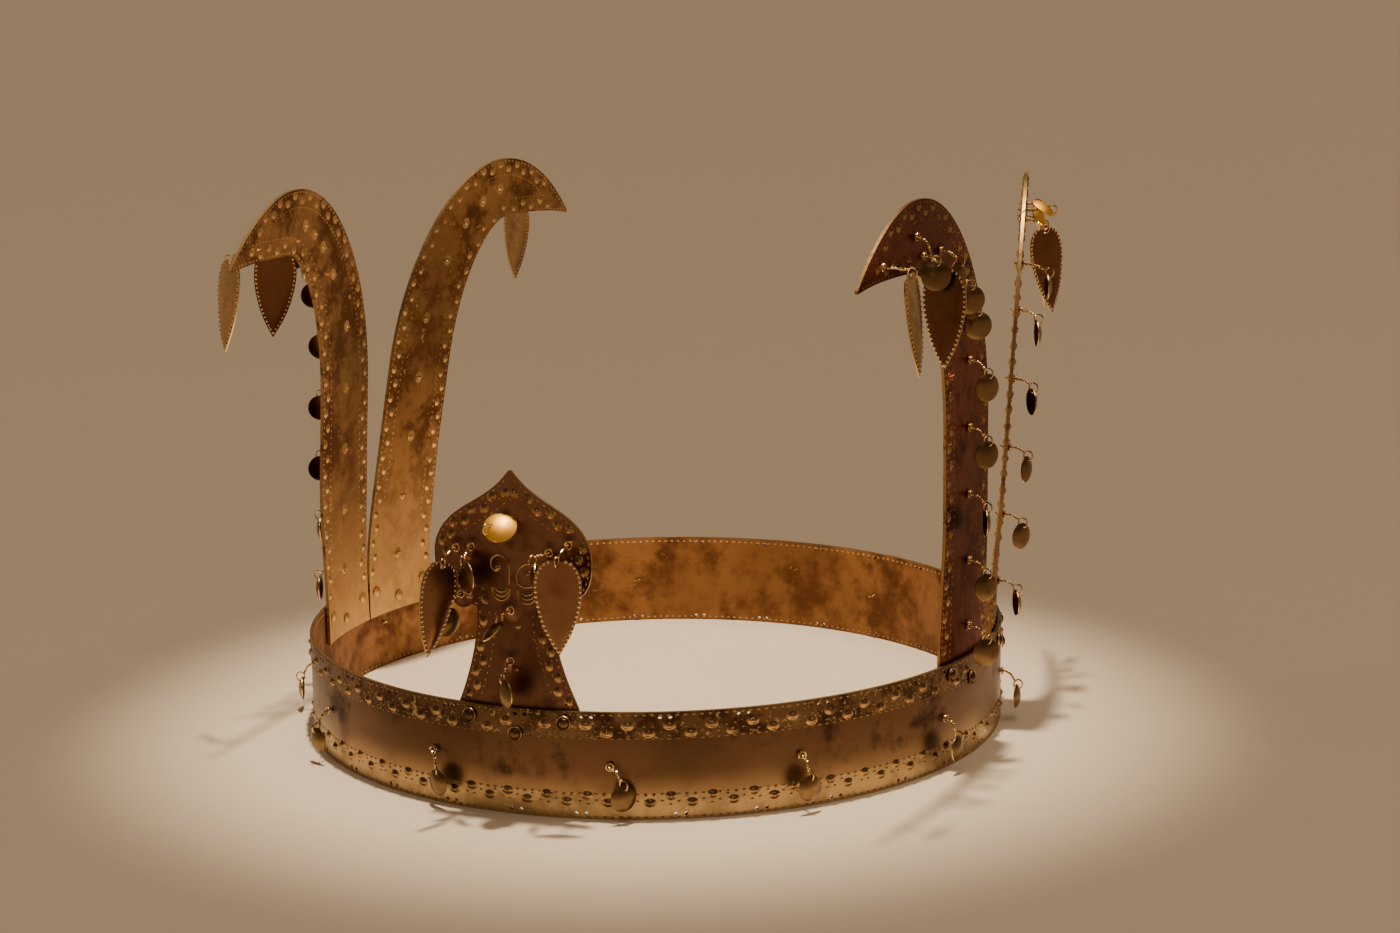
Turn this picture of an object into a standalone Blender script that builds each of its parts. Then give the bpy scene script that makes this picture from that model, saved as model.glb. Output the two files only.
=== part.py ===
"""Gilt-bronze crown: a headband, a short front ornament, four tall crooks and their hanging spangles.

The front is toward -Y, up is +Z, and every length is in metres. The crown stands on the
underside of its headband at z = 0.
"""

import math

import bmesh
import bpy
from mathutils import Matrix, Vector

for old in list(bpy.data.objects):
    bpy.data.objects.remove(old, do_unlink=True)

# Headband
BAND_RADIUS = 0.0900
BAND_HEIGHT = 0.0253
BAND_SHEET = 0.0009
BAND_SIDES = 60

# Sheet of the uprights and the gap kept between neighbouring pieces
PLATE_SHEET = 0.0008
GAP = 0.0003

# Feet of the uprights behind the band, and the rivets that hold them, from the band's top edge
FOOT_DEPTH = 0.0098
FLAT_RISE = 0.0367
SIDE_RIVET_DROP = 0.0027
MIDDLE_RIVET_DROP = 0.0059
RIVET_EDGE = 0.0034
RIVET_SHANK = 0.0008
RIVET_CLEARANCE = 0.0005
RIVET_HEAD = 0.0018
RIVET_DOME = 0.0009
RIVET_TAIL = 0.0015
RIVET_TAIL_RISE = 0.0006
RIVET_SIDES = 6

# Crook outline, across from the middle of its stem toward its beak and up from the floor
FOOT_WIDTH = 0.0274
STEM_WIDTH = 0.0256
CROOK_TOP = 0.1380
CROOK_TOP_REACH = 0.0270
BEAK_REACH = 0.0605
BEAK_TIP_DROP = 0.0180
UNDER_BEAK_DROP = 0.0163
UNDER_BEAK_REACH = 0.0330
BACK_CURVE_DROP = 0.0550
THROAT_CURVE_DROP = 0.0560

# Where the crooks stand around the band from its front, in degrees
RIGHT_FRONT_ANGLE = 79.6
RIGHT_BACK_ANGLE = 102.0
LEFT_FRONT_ANGLE = 84.6
LEFT_BACK_ANGLE = 102.7

# How each crook has bent above the band: outward, toward its beak, and turned, in degrees
RIGHT_FRONT_LEAN = 0.0
RIGHT_BACK_LEAN = 3.8
LEFT_FRONT_LEAN = -3.0
LEFT_BACK_LEAN = -7.0
RIGHT_FRONT_SWAY = 0.0
RIGHT_BACK_SWAY = 0.0
LEFT_FRONT_SWAY = -1.1
LEFT_BACK_SWAY = 6.6
RIGHT_FRONT_TWIST = 1.0
RIGHT_BACK_TWIST = 0.0
LEFT_FRONT_TWIST = 4.5
LEFT_BACK_TWIST = 0.0
LEFT_BACK_EXTRA = 0.0038
BEND_RUN = 0.0160

# Front ornament outline, up from the band's top edge
ORNAMENT_FOOT_WIDTH = 0.0300
ORNAMENT_NECK_WIDTH = 0.0184
ORNAMENT_NECK_RISE = 0.0217
ORNAMENT_HEAD_WIDTH = 0.0386
ORNAMENT_HEAD_RISE = 0.0352
ORNAMENT_SHOULDER_RISE = 0.0135
ORNAMENT_POINT_RISE = 0.0065
ORNAMENT_LOBE_DROP = 0.0133

# Wires and round spangles
WIRE_RADIUS = 0.00040
WIRE_CLEARANCE = 0.00045
WIRE_SIDES = 3
WIRE_REACH = 0.0046
LONG_WIRE_REACH = 0.0064
SHORT_WIRE_REACH = 0.0026
WIRE_DROOP = 0.0016
LOOSE_WIRE_DROOP = 0.0024
SLACK_WIRE_DROOP = 0.0046
TAUT_WIRE_DROOP = 0.0004
RAISED_WIRE_DROOP = -0.0008
WIRE_LOOP_DROP = 0.0014
WIRE_TAIL = 0.0019
SPANGLE_RADIUS = 0.0031
CROOK_SPANGLE_RADIUS = 0.0034
SPANGLE_SHEET = 0.00045
SPANGLE_SIDES = 8
FRONT_SPANGLE_RADIUS = 0.0039
FRONT_WIRE_REACH = 0.0054
FRONT_WIRE_DROOP = 0.0031
SPANGLE_HOLD = 0.0007

# Spangles around the band
BAND_SPANGLES = 12
BAND_SPANGLE_PITCH = 28.3
BAND_SPANGLE_SHARE = 0.502
BAND_WIRE_REACH = 0.0040
BAND_WIRE_DROOP = 0.0030

# Spangles up each crook from the band's top edge
RIGHT_FRONT_STEM_RISE = 0.0072
RIGHT_BACK_STEM_RISE = 0.0101
LEFT_FRONT_STEM_RISE = 0.0080
LEFT_BACK_STEM_RISE = 0.0065
RIGHT_FRONT_STEM_PITCH = 0.0163
RIGHT_BACK_STEM_PITCH = 0.0175
LEFT_FRONT_STEM_PITCH = 0.0166
LEFT_BACK_STEM_PITCH = 0.0168

# Leaf pendants, and their places along the beaks of the crooks
LEAF_LENGTH = 0.0214
CROOK_LEAF_LENGTH = 0.0228
LEAF_WIDTH = 0.0108
LEAF_SHEET = 0.00050
LEAF_SPINE = 0.0009
LEAF_HOLD = 0.0009
LEAF_WIRE_REACH = 0.0068
SHORT_LEAF_WIRE_REACH = 0.0048
RIGHT_FRONT_NEAR_REACH = 0.0272
RIGHT_FRONT_FAR_REACH = 0.0490
RIGHT_BACK_NEAR_REACH = 0.0338
RIGHT_BACK_FAR_REACH = 0.0480
LEFT_FRONT_NEAR_REACH = 0.0275
LEFT_FRONT_FAR_REACH = 0.0475
LEFT_BACK_REACH = 0.0455
LEAF_EDGE = 0.0034

FACE_RADIUS = BAND_RADIUS - BAND_SHEET - GAP
FOOT_LEVEL = BAND_HEIGHT - FOOT_DEPTH
FLAT_LEVEL = BAND_HEIGHT + FLAT_RISE
SIDE_RIVET_LEVEL = BAND_HEIGHT - SIDE_RIVET_DROP
MIDDLE_RIVET_LEVEL = BAND_HEIGHT - MIDDLE_RIVET_DROP
ORNAMENT_NECK_LEVEL = BAND_HEIGHT + ORNAMENT_NECK_RISE
ORNAMENT_HEAD_LEVEL = BAND_HEIGHT + ORNAMENT_HEAD_RISE
BAND_SPANGLE_LEVEL = BAND_HEIGHT * BAND_SPANGLE_SHARE
BEAK_TIP_LEVEL = CROOK_TOP - BEAK_TIP_DROP
UNDER_BEAK_LEVEL = CROOK_TOP - UNDER_BEAK_DROP
BACK_CURVE_LEVEL = CROOK_TOP - BACK_CURVE_DROP
THROAT_CURVE_LEVEL = CROOK_TOP - THROAT_CURVE_DROP
FRONT = math.radians(-90)


def bend(run, start, angle):
    """(sideways, along, turn) of a line that bends through an angle just above its start."""
    if run <= start:
        return 0.0, run, 0.0
    part = min(run - start, BEND_RUN)
    turn = angle * part / BEND_RUN
    rest = run - start - part
    if abs(angle) < 1e-6:
        return 0.0, run, 0.0
    radius = BEND_RUN / angle
    side = radius * (1 - math.cos(turn)) + rest * math.sin(turn)
    return side, start + radius * math.sin(turn) + rest * math.cos(turn), turn


class Seat:
    """The place of one upright: sheet coordinates in, world points out.

    The sheet follows the inside of the band at its foot, flattens above it, and leans outward,
    sways toward its beak and turns its beak outward by its own angles.
    """

    def __init__(self, angle, toward=1, lean=0.0, sway=0.0, twist=0.0):
        turn = FRONT + math.radians(angle)
        self.outward = Vector((math.cos(turn), math.sin(turn), 0))
        self.along = Vector((-math.sin(turn), math.cos(turn), 0))
        self.toward = toward
        self.lean = math.radians(lean)
        self.sway = math.radians(sway)
        self.twist = math.radians(twist) * toward

    def at(self, across, height, out=0.0):
        """out is the distance outside the sheet's outer face."""
        drift, height, _ = bend(height, BAND_HEIGHT, self.sway)
        side = self.toward * (across + drift)
        flat = min(max((FLAT_LEVEL - height) / (FLAT_LEVEL - BAND_HEIGHT), 0.0), 1.0)
        held = flat * flat * (3 - 2 * flat)
        curve = held / FACE_RADIUS
        if curve > 1e-6:
            run = (1 / curve + out) * math.sin(curve * side)
            off = (1 / curve + out) * math.cos(curve * side) - 1 / curve
        else:
            run, off = side, out
        swing = self.twist * (1 - held)
        run, off = (
            run * math.cos(swing) - off * math.sin(swing),
            run * math.sin(swing) + off * math.cos(swing),
        )
        shift, level, turn = bend(height, BAND_HEIGHT, self.lean)
        normal = self.outward * math.cos(turn) - Vector((0, 0, math.sin(turn)))
        base = self.outward * (FACE_RADIUS + shift) + Vector((0, 0, level))
        return base + self.along * run + normal * off

    def normal(self, across, height):
        return (self.at(across, height, 0.001) - self.at(across, height)).normalized()


def mesh_object(name, shape, color, rough=0.5, smooth=False):
    bmesh.ops.recalc_face_normals(shape, faces=shape.faces)
    if shape.calc_volume(signed=True) < 0:
        bmesh.ops.reverse_faces(shape, faces=shape.faces)
    mesh = bpy.data.meshes.new(name)
    shape.to_mesh(mesh)
    shape.free()
    item = bpy.data.objects.new(name, mesh)
    bpy.context.scene.collection.objects.link(item)
    material = bpy.data.materials.new(name + "_metal")
    material.use_nodes = True
    surface = material.node_tree.nodes["Principled BSDF"]
    surface.inputs["Base Color"].default_value = (*color, 1.0)
    surface.inputs["Metallic"].default_value = 1.0
    surface.inputs["Roughness"].default_value = rough
    mesh.materials.append(material)
    for face in mesh.polygons:
        face.use_smooth = smooth
    return item


def helper(name, shape):
    """A cutter or a joined piece: a closed mesh that no render shows."""
    item = mesh_object(name, shape, (0.5, 0.5, 0.5))
    item.hide_render = True
    item.display_type = "WIRE"
    return item


def boolean(item, other, operation):
    tool = item.modifiers.new(other.name, "BOOLEAN")
    tool.solver = "EXACT"
    tool.operation = operation
    tool.object = other


def add_rod(shape, start, end, radius, sides):
    """A straight closed rod added to a mesh."""
    line = end - start
    turn = line.to_track_quat("Z", "Y").to_matrix().to_4x4()
    place = Matrix.Translation((start + end) / 2) @ turn
    bmesh.ops.create_cone(
        shape,
        cap_ends=True,
        segments=sides,
        radius1=radius,
        radius2=radius,
        depth=line.length,
        matrix=place,
    )


def sheet(rows, seat, columns):
    """A sheet between pairs of edge points, with its outer face on the seat's face."""
    shape = bmesh.new()
    faces = []
    for out in (0.0, -PLATE_SHEET):
        layer = []
        for left, right in rows:
            row = []
            for step in range(columns + 1):
                share = step / columns
                across = left[0] + (right[0] - left[0]) * share
                height = left[1] + (right[1] - left[1]) * share
                row.append(shape.verts.new(seat.at(across, height, out)))
            layer.append(row)
        faces.append(layer)
    outer, inner = faces
    last = len(rows) - 1
    for row in range(last):
        for step in range(columns):
            for layer in (outer, inner):
                a, b = layer[row][step], layer[row][step + 1]
                c, d = layer[row + 1][step + 1], layer[row + 1][step]
                shape.faces.new((a, b, c, d))
        for step in (0, columns):
            a, b = outer[row][step], outer[row + 1][step]
            c, d = inner[row + 1][step], inner[row][step]
            shape.faces.new((a, b, c, d))
    for row in (0, last):
        for step in range(columns):
            a, b = outer[row][step], outer[row][step + 1]
            c, d = inner[row][step + 1], inner[row][step]
            shape.faces.new((a, b, c, d))
    return shape


def wire(points, radius=WIRE_RADIUS, sides=WIRE_SIDES):
    """A closed wire through points, with few sides, mitred at its bends."""
    shape = bmesh.new()
    rings = []
    side = None
    for index, point in enumerate(points):
        before = points[max(index - 1, 0)]
        after = points[min(index + 1, len(points) - 1)]
        heading = (after - before).normalized()
        if side is None:
            side = heading.orthogonal().normalized()
        side = (side - heading * side.dot(heading)).normalized()
        over = heading.cross(side)
        ring = []
        for step in range(sides):
            turn = 2 * math.pi * step / sides
            offset = (side * math.cos(turn) + over * math.sin(turn)) * radius
            ring.append(shape.verts.new(point + offset))
        rings.append(ring)
    for low, high in zip(rings, rings[1:]):
        for step in range(sides):
            after = (step + 1) % sides
            shape.faces.new((low[step], low[after], high[after], high[step]))
    shape.faces.new(rings[0])
    shape.faces.new(rings[-1])
    bmesh.ops.recalc_face_normals(shape, faces=shape.faces)
    return shape


class Hung:
    """What hangs at one place of a sheet: a spangle or a leaf, and the wire that holds it.

    It is turned about the upright line, tilted until its face looks up and rolled in its own
    plane, in degrees. Its wire reaches out, droops, and swings sideways by degrees. Size is a
    spangle's radius or a leaf's length.
    """

    def __init__(self, place, pose, size, reach=WIRE_REACH, droop=WIRE_DROOP, swing=0):
        self.place = place
        self.pose = [math.radians(angle) for angle in pose]
        self.size = size
        self.reach = reach
        self.droop = droop
        self.swing = math.radians(swing)

    def axes(self, normal):
        """Where its face looks, and which way it hangs."""
        turn, tilt, roll = self.pose
        level = Vector((normal.x, normal.y, 0)).normalized()
        facing = Matrix.Rotation(turn, 3, "Z") @ level
        tip = Matrix.Rotation(tilt, 3, facing.cross(Vector((0, 0, 1))))
        facing = tip @ facing
        hanging = Matrix.Rotation(roll, 3, facing) @ (tip @ Vector((0, 0, -1)))
        return facing, hanging

    def wire_path(self, root, normal, sheet_depth, hooked):
        """Points of its wire: through the sheet, outward, and down into what it holds.

        A hooked wire has a tail bent along the back of the sheet. One that isn't hooked starts
        inside the sheet.
        """
        down = Vector((0, 0, -1))
        level = Vector((normal.x, normal.y, 0)).normalized()
        side = level.cross(down)
        level = Matrix.Rotation(self.swing, 3, "Z") @ level
        start = root + normal * (GAP + WIRE_RADIUS)
        points = []
        if hooked:
            back = root - normal * (sheet_depth + GAP + 1.5 * WIRE_RADIUS)
            points.append(back + side * WIRE_TAIL)
            points.append(back)
            points.append(start)
        else:
            points.append(root - normal * sheet_depth / 2)
        points.append(start + level * self.reach * 0.55 + down * self.droop * 0.28)
        points.append(start + level * self.reach + down * self.droop)
        points.append(start + level * self.reach + down * (self.droop + WIRE_LOOP_DROP))
        return points


class Spangle(Hung):
    def shape(self, top, normal):
        """A round disc that hangs from a point near its rim."""
        facing, hanging = self.axes(normal)
        middle = top + hanging * (self.size - SPANGLE_HOLD)
        shape = bmesh.new()
        add_rod(
            shape,
            middle - facing * SPANGLE_SHEET / 2,
            middle + facing * SPANGLE_SHEET / 2,
            self.size,
            SPANGLE_SIDES,
        )
        return shape


class Leaf(Hung):
    def shape(self, top, normal):
        """A leaf with round shoulders, a point at its end and a raised spine."""
        facing, hanging = self.axes(normal)
        side = hanging.cross(facing)
        start = top - hanging * LEAF_HOLD
        shares = (0.0, 0.09, 0.28, 0.6, 0.86)
        widths = (0.42, 0.78, 1.0, 0.78, 0.32)
        shape = bmesh.new()
        layers = []
        for depth in (LEAF_SHEET / 2, -LEAF_SHEET / 2):
            layer = []
            for share, width in zip(shares, widths):
                base = start + hanging * self.size * share + facing * depth
                rise = facing * LEAF_SPINE * min(1.0, 2.5 * share, 4 * (1 - share))
                half = side * LEAF_WIDTH / 2 * width
                layer.append([base - half, base + rise, base + half])
            tip = start + hanging * self.size + facing * depth
            rows = [[shape.verts.new(point) for point in row] for row in layer]
            layers.append((rows, shape.verts.new(tip)))
        for rows, tip in layers:
            for upper, lower in zip(rows, rows[1:]):
                for step in (0, 1):
                    corners = (upper[step], upper[step + 1], lower[step + 1], lower[step])
                    shape.faces.new(corners)
            for step in (0, 1):
                shape.faces.new((rows[-1][step], rows[-1][step + 1], tip))
        (front, front_tip), (back, back_tip) = layers
        for row in range(len(front) - 1):
            for step in (0, 2):
                a, b = front[row][step], front[row + 1][step]
                c, d = back[row + 1][step], back[row][step]
                shape.faces.new((a, b, c, d))
        for step in (0, 1):
            a, b = front[0][step], front[0][step + 1]
            shape.faces.new((a, b, back[0][step + 1], back[0][step]))
        for step in (0, 2):
            shape.faces.new((front[-1][step], front_tip, back_tip, back[-1][step]))
        return shape


def hanger(name, root, normal, hung, depth, hooked=True):
    """A wire with its spangle or leaf joined on, as one closed piece."""
    points = hung.wire_path(root, normal, depth, hooked)
    item = mesh_object(name, hung.shape(points[-1], normal), GOLD, 0.4)
    boolean(item, helper(name + "_wire", wire(points)), "UNION")
    return item


def bake(item):
    """The object's evaluated mesh in place of its own mesh and modifiers."""
    graph = bpy.context.evaluated_depsgraph_get()
    made = bpy.data.meshes.new_from_object(item.evaluated_get(graph))
    item.modifiers.clear()
    item.data = made
    return item


def wire_holes(name, places, depth):
    """Cutters for the holes that hooked wires pass through."""
    shape = bmesh.new()
    for root, normal in places:
        add_rod(
            shape,
            root - normal * 3 * depth,
            root + normal * 2 * depth,
            WIRE_RADIUS + WIRE_CLEARANCE,
            6,
        )
    return helper(name, shape)


def crook_edges(share, extra=0.0):
    """The edge points of a crook's head at a share of its length from the stem to the beak."""
    half = STEM_WIDTH / 2
    back = share / 0.62
    if back < 1:
        turn = math.radians(90) * back
        outer_u = CROOK_TOP_REACH - (CROOK_TOP_REACH + half) * math.cos(turn)
        outer_v = BACK_CURVE_LEVEL + (CROOK_TOP - BACK_CURVE_LEVEL) * math.sin(turn)
    else:
        run = (share - 0.62) / 0.38
        outer_u = CROOK_TOP_REACH + (BEAK_REACH - CROOK_TOP_REACH) * run
        outer_v = CROOK_TOP - (CROOK_TOP - BEAK_TIP_LEVEL - PLATE_SHEET) * run * run
    throat = share / 0.66
    if throat < 1:
        turn = math.radians(90) * throat
        inner_u = UNDER_BEAK_REACH - (UNDER_BEAK_REACH - half) * math.cos(turn)
        rise = UNDER_BEAK_LEVEL - THROAT_CURVE_LEVEL
        inner_v = THROAT_CURVE_LEVEL + rise * math.sin(turn)
    else:
        run = (share - 0.66) / 0.34
        inner_u = UNDER_BEAK_REACH + (BEAK_REACH - UNDER_BEAK_REACH) * run
        inner_v = UNDER_BEAK_LEVEL + (BEAK_TIP_LEVEL - UNDER_BEAK_LEVEL) * run**3
    return (outer_u, outer_v + extra), (inner_u, inner_v + extra)


def crook_middle(share, extra=0.0):
    outer, inner = crook_edges(share, extra)
    return (outer[0] + inner[0]) / 2, (outer[1] + inner[1]) / 2


def under_beak(reach, extra=0.0):
    """A place just inside the under edge of the beak."""
    run = max(0.0, (reach - UNDER_BEAK_REACH) / (BEAK_REACH - UNDER_BEAK_REACH))
    drop = (UNDER_BEAK_LEVEL - BEAK_TIP_LEVEL) * run**3
    return reach, UNDER_BEAK_LEVEL - drop + LEAF_EDGE + extra


def crook_rows(extra=0.0):
    """Pairs of edge points of a crook, from its foot to the tip of its beak."""
    rows = []
    levels = [FOOT_LEVEL, BAND_HEIGHT]
    steps = 6
    low = BAND_HEIGHT
    high = min(BACK_CURVE_LEVEL, THROAT_CURVE_LEVEL) + extra
    for step in range(1, steps):
        levels.append(low + (high - low) * step / steps)
    for level in levels:
        share = min(max((level - FOOT_LEVEL) / (FLAT_LEVEL - FOOT_LEVEL), 0), 1)
        half = (FOOT_WIDTH + (STEM_WIDTH - FOOT_WIDTH) * share) / 2
        rows.append(((-half, level), (half, level)))
    turns = 12
    for step in range(turns + 1):
        rows.append(crook_edges(step / turns, extra))
    return rows


def ornament_rows():
    """Pairs of edge points of the front ornament: a flared neck under a pointed, lobed head."""
    rows = []
    foot = ORNAMENT_FOOT_WIDTH / 2
    neck = ORNAMENT_NECK_WIDTH / 2
    rows.append(((-foot, FOOT_LEVEL), (foot, FOOT_LEVEL)))
    rows.append(((-foot, BAND_HEIGHT), (foot, BAND_HEIGHT)))
    steps = 5
    for step in range(1, steps + 1):
        share = step / steps
        half = neck + (foot - neck) * (1 - share) ** 1.7
        level = BAND_HEIGHT + (ORNAMENT_NECK_LEVEL - BAND_HEIGHT) * share
        rows.append(((-half, level), (half, level)))
    head = ORNAMENT_HEAD_WIDTH / 2
    for drop in (0.96, 0.86, 0.7, 0.45, 0.0):
        half = max(neck, head * math.sqrt(1 - drop**3))
        level = ORNAMENT_HEAD_LEVEL - ORNAMENT_LOBE_DROP * drop
        rows.append(((-half, level), (half, level)))
    for share in (0.96, 0.84, 0.66, 0.45, 0.25, 0.1, 0.015):
        dome = ORNAMENT_SHOULDER_RISE * math.sqrt(1 - share * share)
        level = ORNAMENT_HEAD_LEVEL + dome + ORNAMENT_POINT_RISE * (1 - share) ** 4
        rows.append(((-head * share, level), (head * share, level)))
    return rows


def rivet(name, seat, across, level):
    """A rivet through the band and a foot: domed head outside, hammered tail inside."""
    middle = seat.at(across, level)
    normal = seat.normal(across, level)
    outside = GAP + BAND_SHEET + GAP
    inside = -PLATE_SHEET - GAP
    profile = (
        (0.0, outside + RIVET_DOME),
        (RIVET_HEAD * 0.66, outside + RIVET_DOME * 0.72),
        (RIVET_HEAD, outside),
        (RIVET_SHANK, outside),
        (RIVET_SHANK, inside),
        (RIVET_TAIL, inside),
        (0.0, inside - RIVET_TAIL_RISE),
    )
    shape = bmesh.new()
    verts = [shape.verts.new((radius, 0, out)) for radius, out in profile]
    edges = [shape.edges.new(pair) for pair in zip(verts, verts[1:])]
    bmesh.ops.spin(
        shape,
        geom=verts + edges,
        cent=(0, 0, 0),
        axis=(0, 0, 1),
        angle=2 * math.pi,
        steps=RIVET_SIDES,
        use_merge=True,
    )
    bmesh.ops.remove_doubles(shape, verts=shape.verts, dist=0.00001)
    turn = normal.to_track_quat("Z", "Y").to_matrix().to_4x4()
    shape.transform(Matrix.Translation(middle) @ turn)
    return mesh_object(name, shape, (0.30, 0.21, 0.09), 0.45)


def rivet_places(foot_width):
    edge = foot_width / 2 - RIVET_EDGE
    return [(-edge, SIDE_RIVET_LEVEL), (0.0, MIDDLE_RIVET_LEVEL), (edge, SIDE_RIVET_LEVEL)]


GOLD = (0.46, 0.33, 0.13)
BROWN = (0.27, 0.17, 0.07)
nodes = []
rivet_roots = []


def stand(name, seat, rows, foot_width, hooked, fused):
    """An upright with its rivets, its fused spangles and its own holes.

    The hooked pieces are nodes of their own, whose wires pass through holes.
    """
    color = BROWN
    item = mesh_object(name, sheet(rows, seat, 3), color, 0.5, True)
    joined = []
    for number, hung in enumerate(fused):
        root, normal = seat.at(*hung.place), seat.normal(*hung.place)
        made = hanger(f"{name}_stem_{number}", root, normal, hung, PLATE_SHEET, False)
        joined.append(bake(made))
    if joined:
        group = bmesh.new()
        for piece in joined:
            group.from_mesh(piece.data)
            bpy.data.objects.remove(piece, do_unlink=True)
        boolean(item, helper(name + "_stem_spangles", group), "UNION")
    places = [(seat.at(*hung.place), seat.normal(*hung.place)) for hung in hooked]
    boolean(item, wire_holes(name + "_wire_holes", places, PLATE_SHEET), "DIFFERENCE")
    shape = bmesh.new()
    for number, (across, level) in enumerate(rivet_places(foot_width)):
        root, normal = seat.at(across, level), seat.normal(across, level)
        rivet_roots.append((root, normal))
        reach = 3 * PLATE_SHEET
        add_rod(
            shape,
            root - normal * reach,
            root + normal * (GAP + BAND_SHEET / 2),
            RIVET_SHANK + RIVET_CLEARANCE,
            RIVET_SIDES,
        )
        nodes.append(rivet(f"rivet_{name[8:] or 'front'}_{number + 1}", seat, across, level))
    boolean(item, helper(name + "_rivet_holes", shape), "DIFFERENCE")
    nodes.append(item)
    return item


def hang(name, seat, hooked):
    """The hooked pieces of an upright, numbered in two rows: its spangles and its pendants."""
    for kind, prefix in ((Spangle, "spangle"), (Leaf, "pendant")):
        pieces = [hung for hung in hooked if isinstance(hung, kind)]
        for number, hung in enumerate(pieces):
            root, normal = seat.at(*hung.place), seat.normal(*hung.place)
            label = f"{prefix}_{name}_{number + 1}"
            nodes.append(hanger(label, root, normal, hung, PLATE_SHEET))


def stem_round(rise, turn, reach, droop):
    """A spangle in the middle of a crook's stem, at a rise above the band's top edge."""
    return Spangle((0.0, BAND_HEIGHT + rise), (turn, 0, 0), CROOK_SPANGLE_RADIUS, reach, droop)


def stem_rounds(start, pitch, turns, reach=WIRE_REACH, droop=WIRE_DROOP):
    return [
        stem_round(start + pitch * step, turn, reach, droop) for step, turn in enumerate(turns)
    ]


def head_round(place, pose, reach=WIRE_REACH, droop=WIRE_DROOP):
    return Spangle(place, pose, CROOK_SPANGLE_RADIUS, reach, droop)


def beak_leaf(place, pose, reach, droop):
    return Leaf(place, pose, CROOK_LEAF_LENGTH, reach, droop)


# Four crooks: each stands inside the band on three rivets and curls at its top. Its spangles
# up the stem and low on the head are joined to it, and those on top and its leaves are loose.
CROOKS = (
    (
        "left_front",
        Seat(-LEFT_FRONT_ANGLE, 1, LEFT_FRONT_LEAN, LEFT_FRONT_SWAY, LEFT_FRONT_TWIST),
        0.0,
        stem_rounds(
            LEFT_FRONT_STEM_RISE,
            LEFT_FRONT_STEM_PITCH,
            (15, 20, -50, -60, -70),
            LONG_WIRE_REACH,
        )
        + [
            head_round(crook_middle(0.30), (-58, 0, 0)),
            head_round(crook_middle(0.40), (20, 0, 0)),
        ],
        (
            head_round(crook_middle(0.47), (-35, 0, 0)),
            head_round(crook_middle(0.54), (80, 0, 0)),
            beak_leaf(
                under_beak(LEFT_FRONT_NEAR_REACH),
                (-58, 0, 5),
                SHORT_LEAF_WIRE_REACH,
                WIRE_DROOP,
            ),
            beak_leaf(
                under_beak(LEFT_FRONT_FAR_REACH),
                (58, 7, 0),
                LEAF_WIRE_REACH,
                LOOSE_WIRE_DROOP,
            ),
        ),
    ),
    (
        "left_back",
        Seat(-LEFT_BACK_ANGLE, -1, LEFT_BACK_LEAN, LEFT_BACK_SWAY, LEFT_BACK_TWIST),
        LEFT_BACK_EXTRA,
        stem_rounds(LEFT_BACK_STEM_RISE, LEFT_BACK_STEM_PITCH, (-15, 48, 10, -15, 48))
        + [
            head_round(crook_middle(0.26, LEFT_BACK_EXTRA), (10, 0, 0)),
            head_round(crook_middle(0.38, LEFT_BACK_EXTRA), (-15, 0, 0)),
        ],
        (
            head_round(crook_middle(0.48, LEFT_BACK_EXTRA), (48, 0, 0)),
            head_round(crook_middle(0.58, LEFT_BACK_EXTRA), (10, 0, 0)),
            beak_leaf(
                under_beak(LEFT_BACK_REACH, LEFT_BACK_EXTRA),
                (-5, 0, 5),
                LEAF_WIRE_REACH,
                TAUT_WIRE_DROOP,
            ),
        ),
    ),
    (
        "right_front",
        Seat(RIGHT_FRONT_ANGLE, -1, RIGHT_FRONT_LEAN, RIGHT_FRONT_SWAY, RIGHT_FRONT_TWIST),
        0.0,
        stem_rounds(
            RIGHT_FRONT_STEM_RISE,
            RIGHT_FRONT_STEM_PITCH,
            (-45, -28, 32, -30, -30),
            droop=LOOSE_WIRE_DROOP,
        )
        + [
            head_round(crook_middle(0.28), (-60, 0, 0)),
            head_round(crook_middle(0.36), (-60, 0, 0)),
        ],
        (
            head_round(crook_middle(0.46), (-10, 0, 0)),
            head_round(crook_middle(0.65), (-62, 0, 0), droop=SLACK_WIRE_DROOP),
            beak_leaf(
                under_beak(RIGHT_FRONT_NEAR_REACH),
                (-92, 0, 0),
                SHORT_LEAF_WIRE_REACH,
                LOOSE_WIRE_DROOP,
            ),
            beak_leaf(
                under_beak(RIGHT_FRONT_FAR_REACH),
                (7, 5, 0),
                LEAF_WIRE_REACH,
                TAUT_WIRE_DROOP,
            ),
        ),
    ),
    (
        "right_back",
        Seat(RIGHT_BACK_ANGLE, 1, RIGHT_BACK_LEAN, RIGHT_BACK_SWAY, RIGHT_BACK_TWIST),
        0.0,
        stem_rounds(RIGHT_BACK_STEM_RISE, RIGHT_BACK_STEM_PITCH, (14, -39, -21, 21, 9))
        + [head_round(crook_middle(0.32), (8, 0, 0), LONG_WIRE_REACH)],
        (
            head_round(crook_middle(0.76), (-21, 20, 0), SHORT_WIRE_REACH, RAISED_WIRE_DROOP),
            head_round(
                crook_middle(0.54), (-20, 55, 180), LONG_WIRE_REACH, RAISED_WIRE_DROOP
            ),
            beak_leaf(
                under_beak(RIGHT_BACK_NEAR_REACH),
                (-50, 0, 8),
                SHORT_LEAF_WIRE_REACH,
                WIRE_DROOP,
            ),
            beak_leaf(
                under_beak(RIGHT_BACK_FAR_REACH),
                (-20, 0, 6),
                SHORT_LEAF_WIRE_REACH,
                WIRE_DROOP,
            ),
        ),
    ),
)
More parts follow.
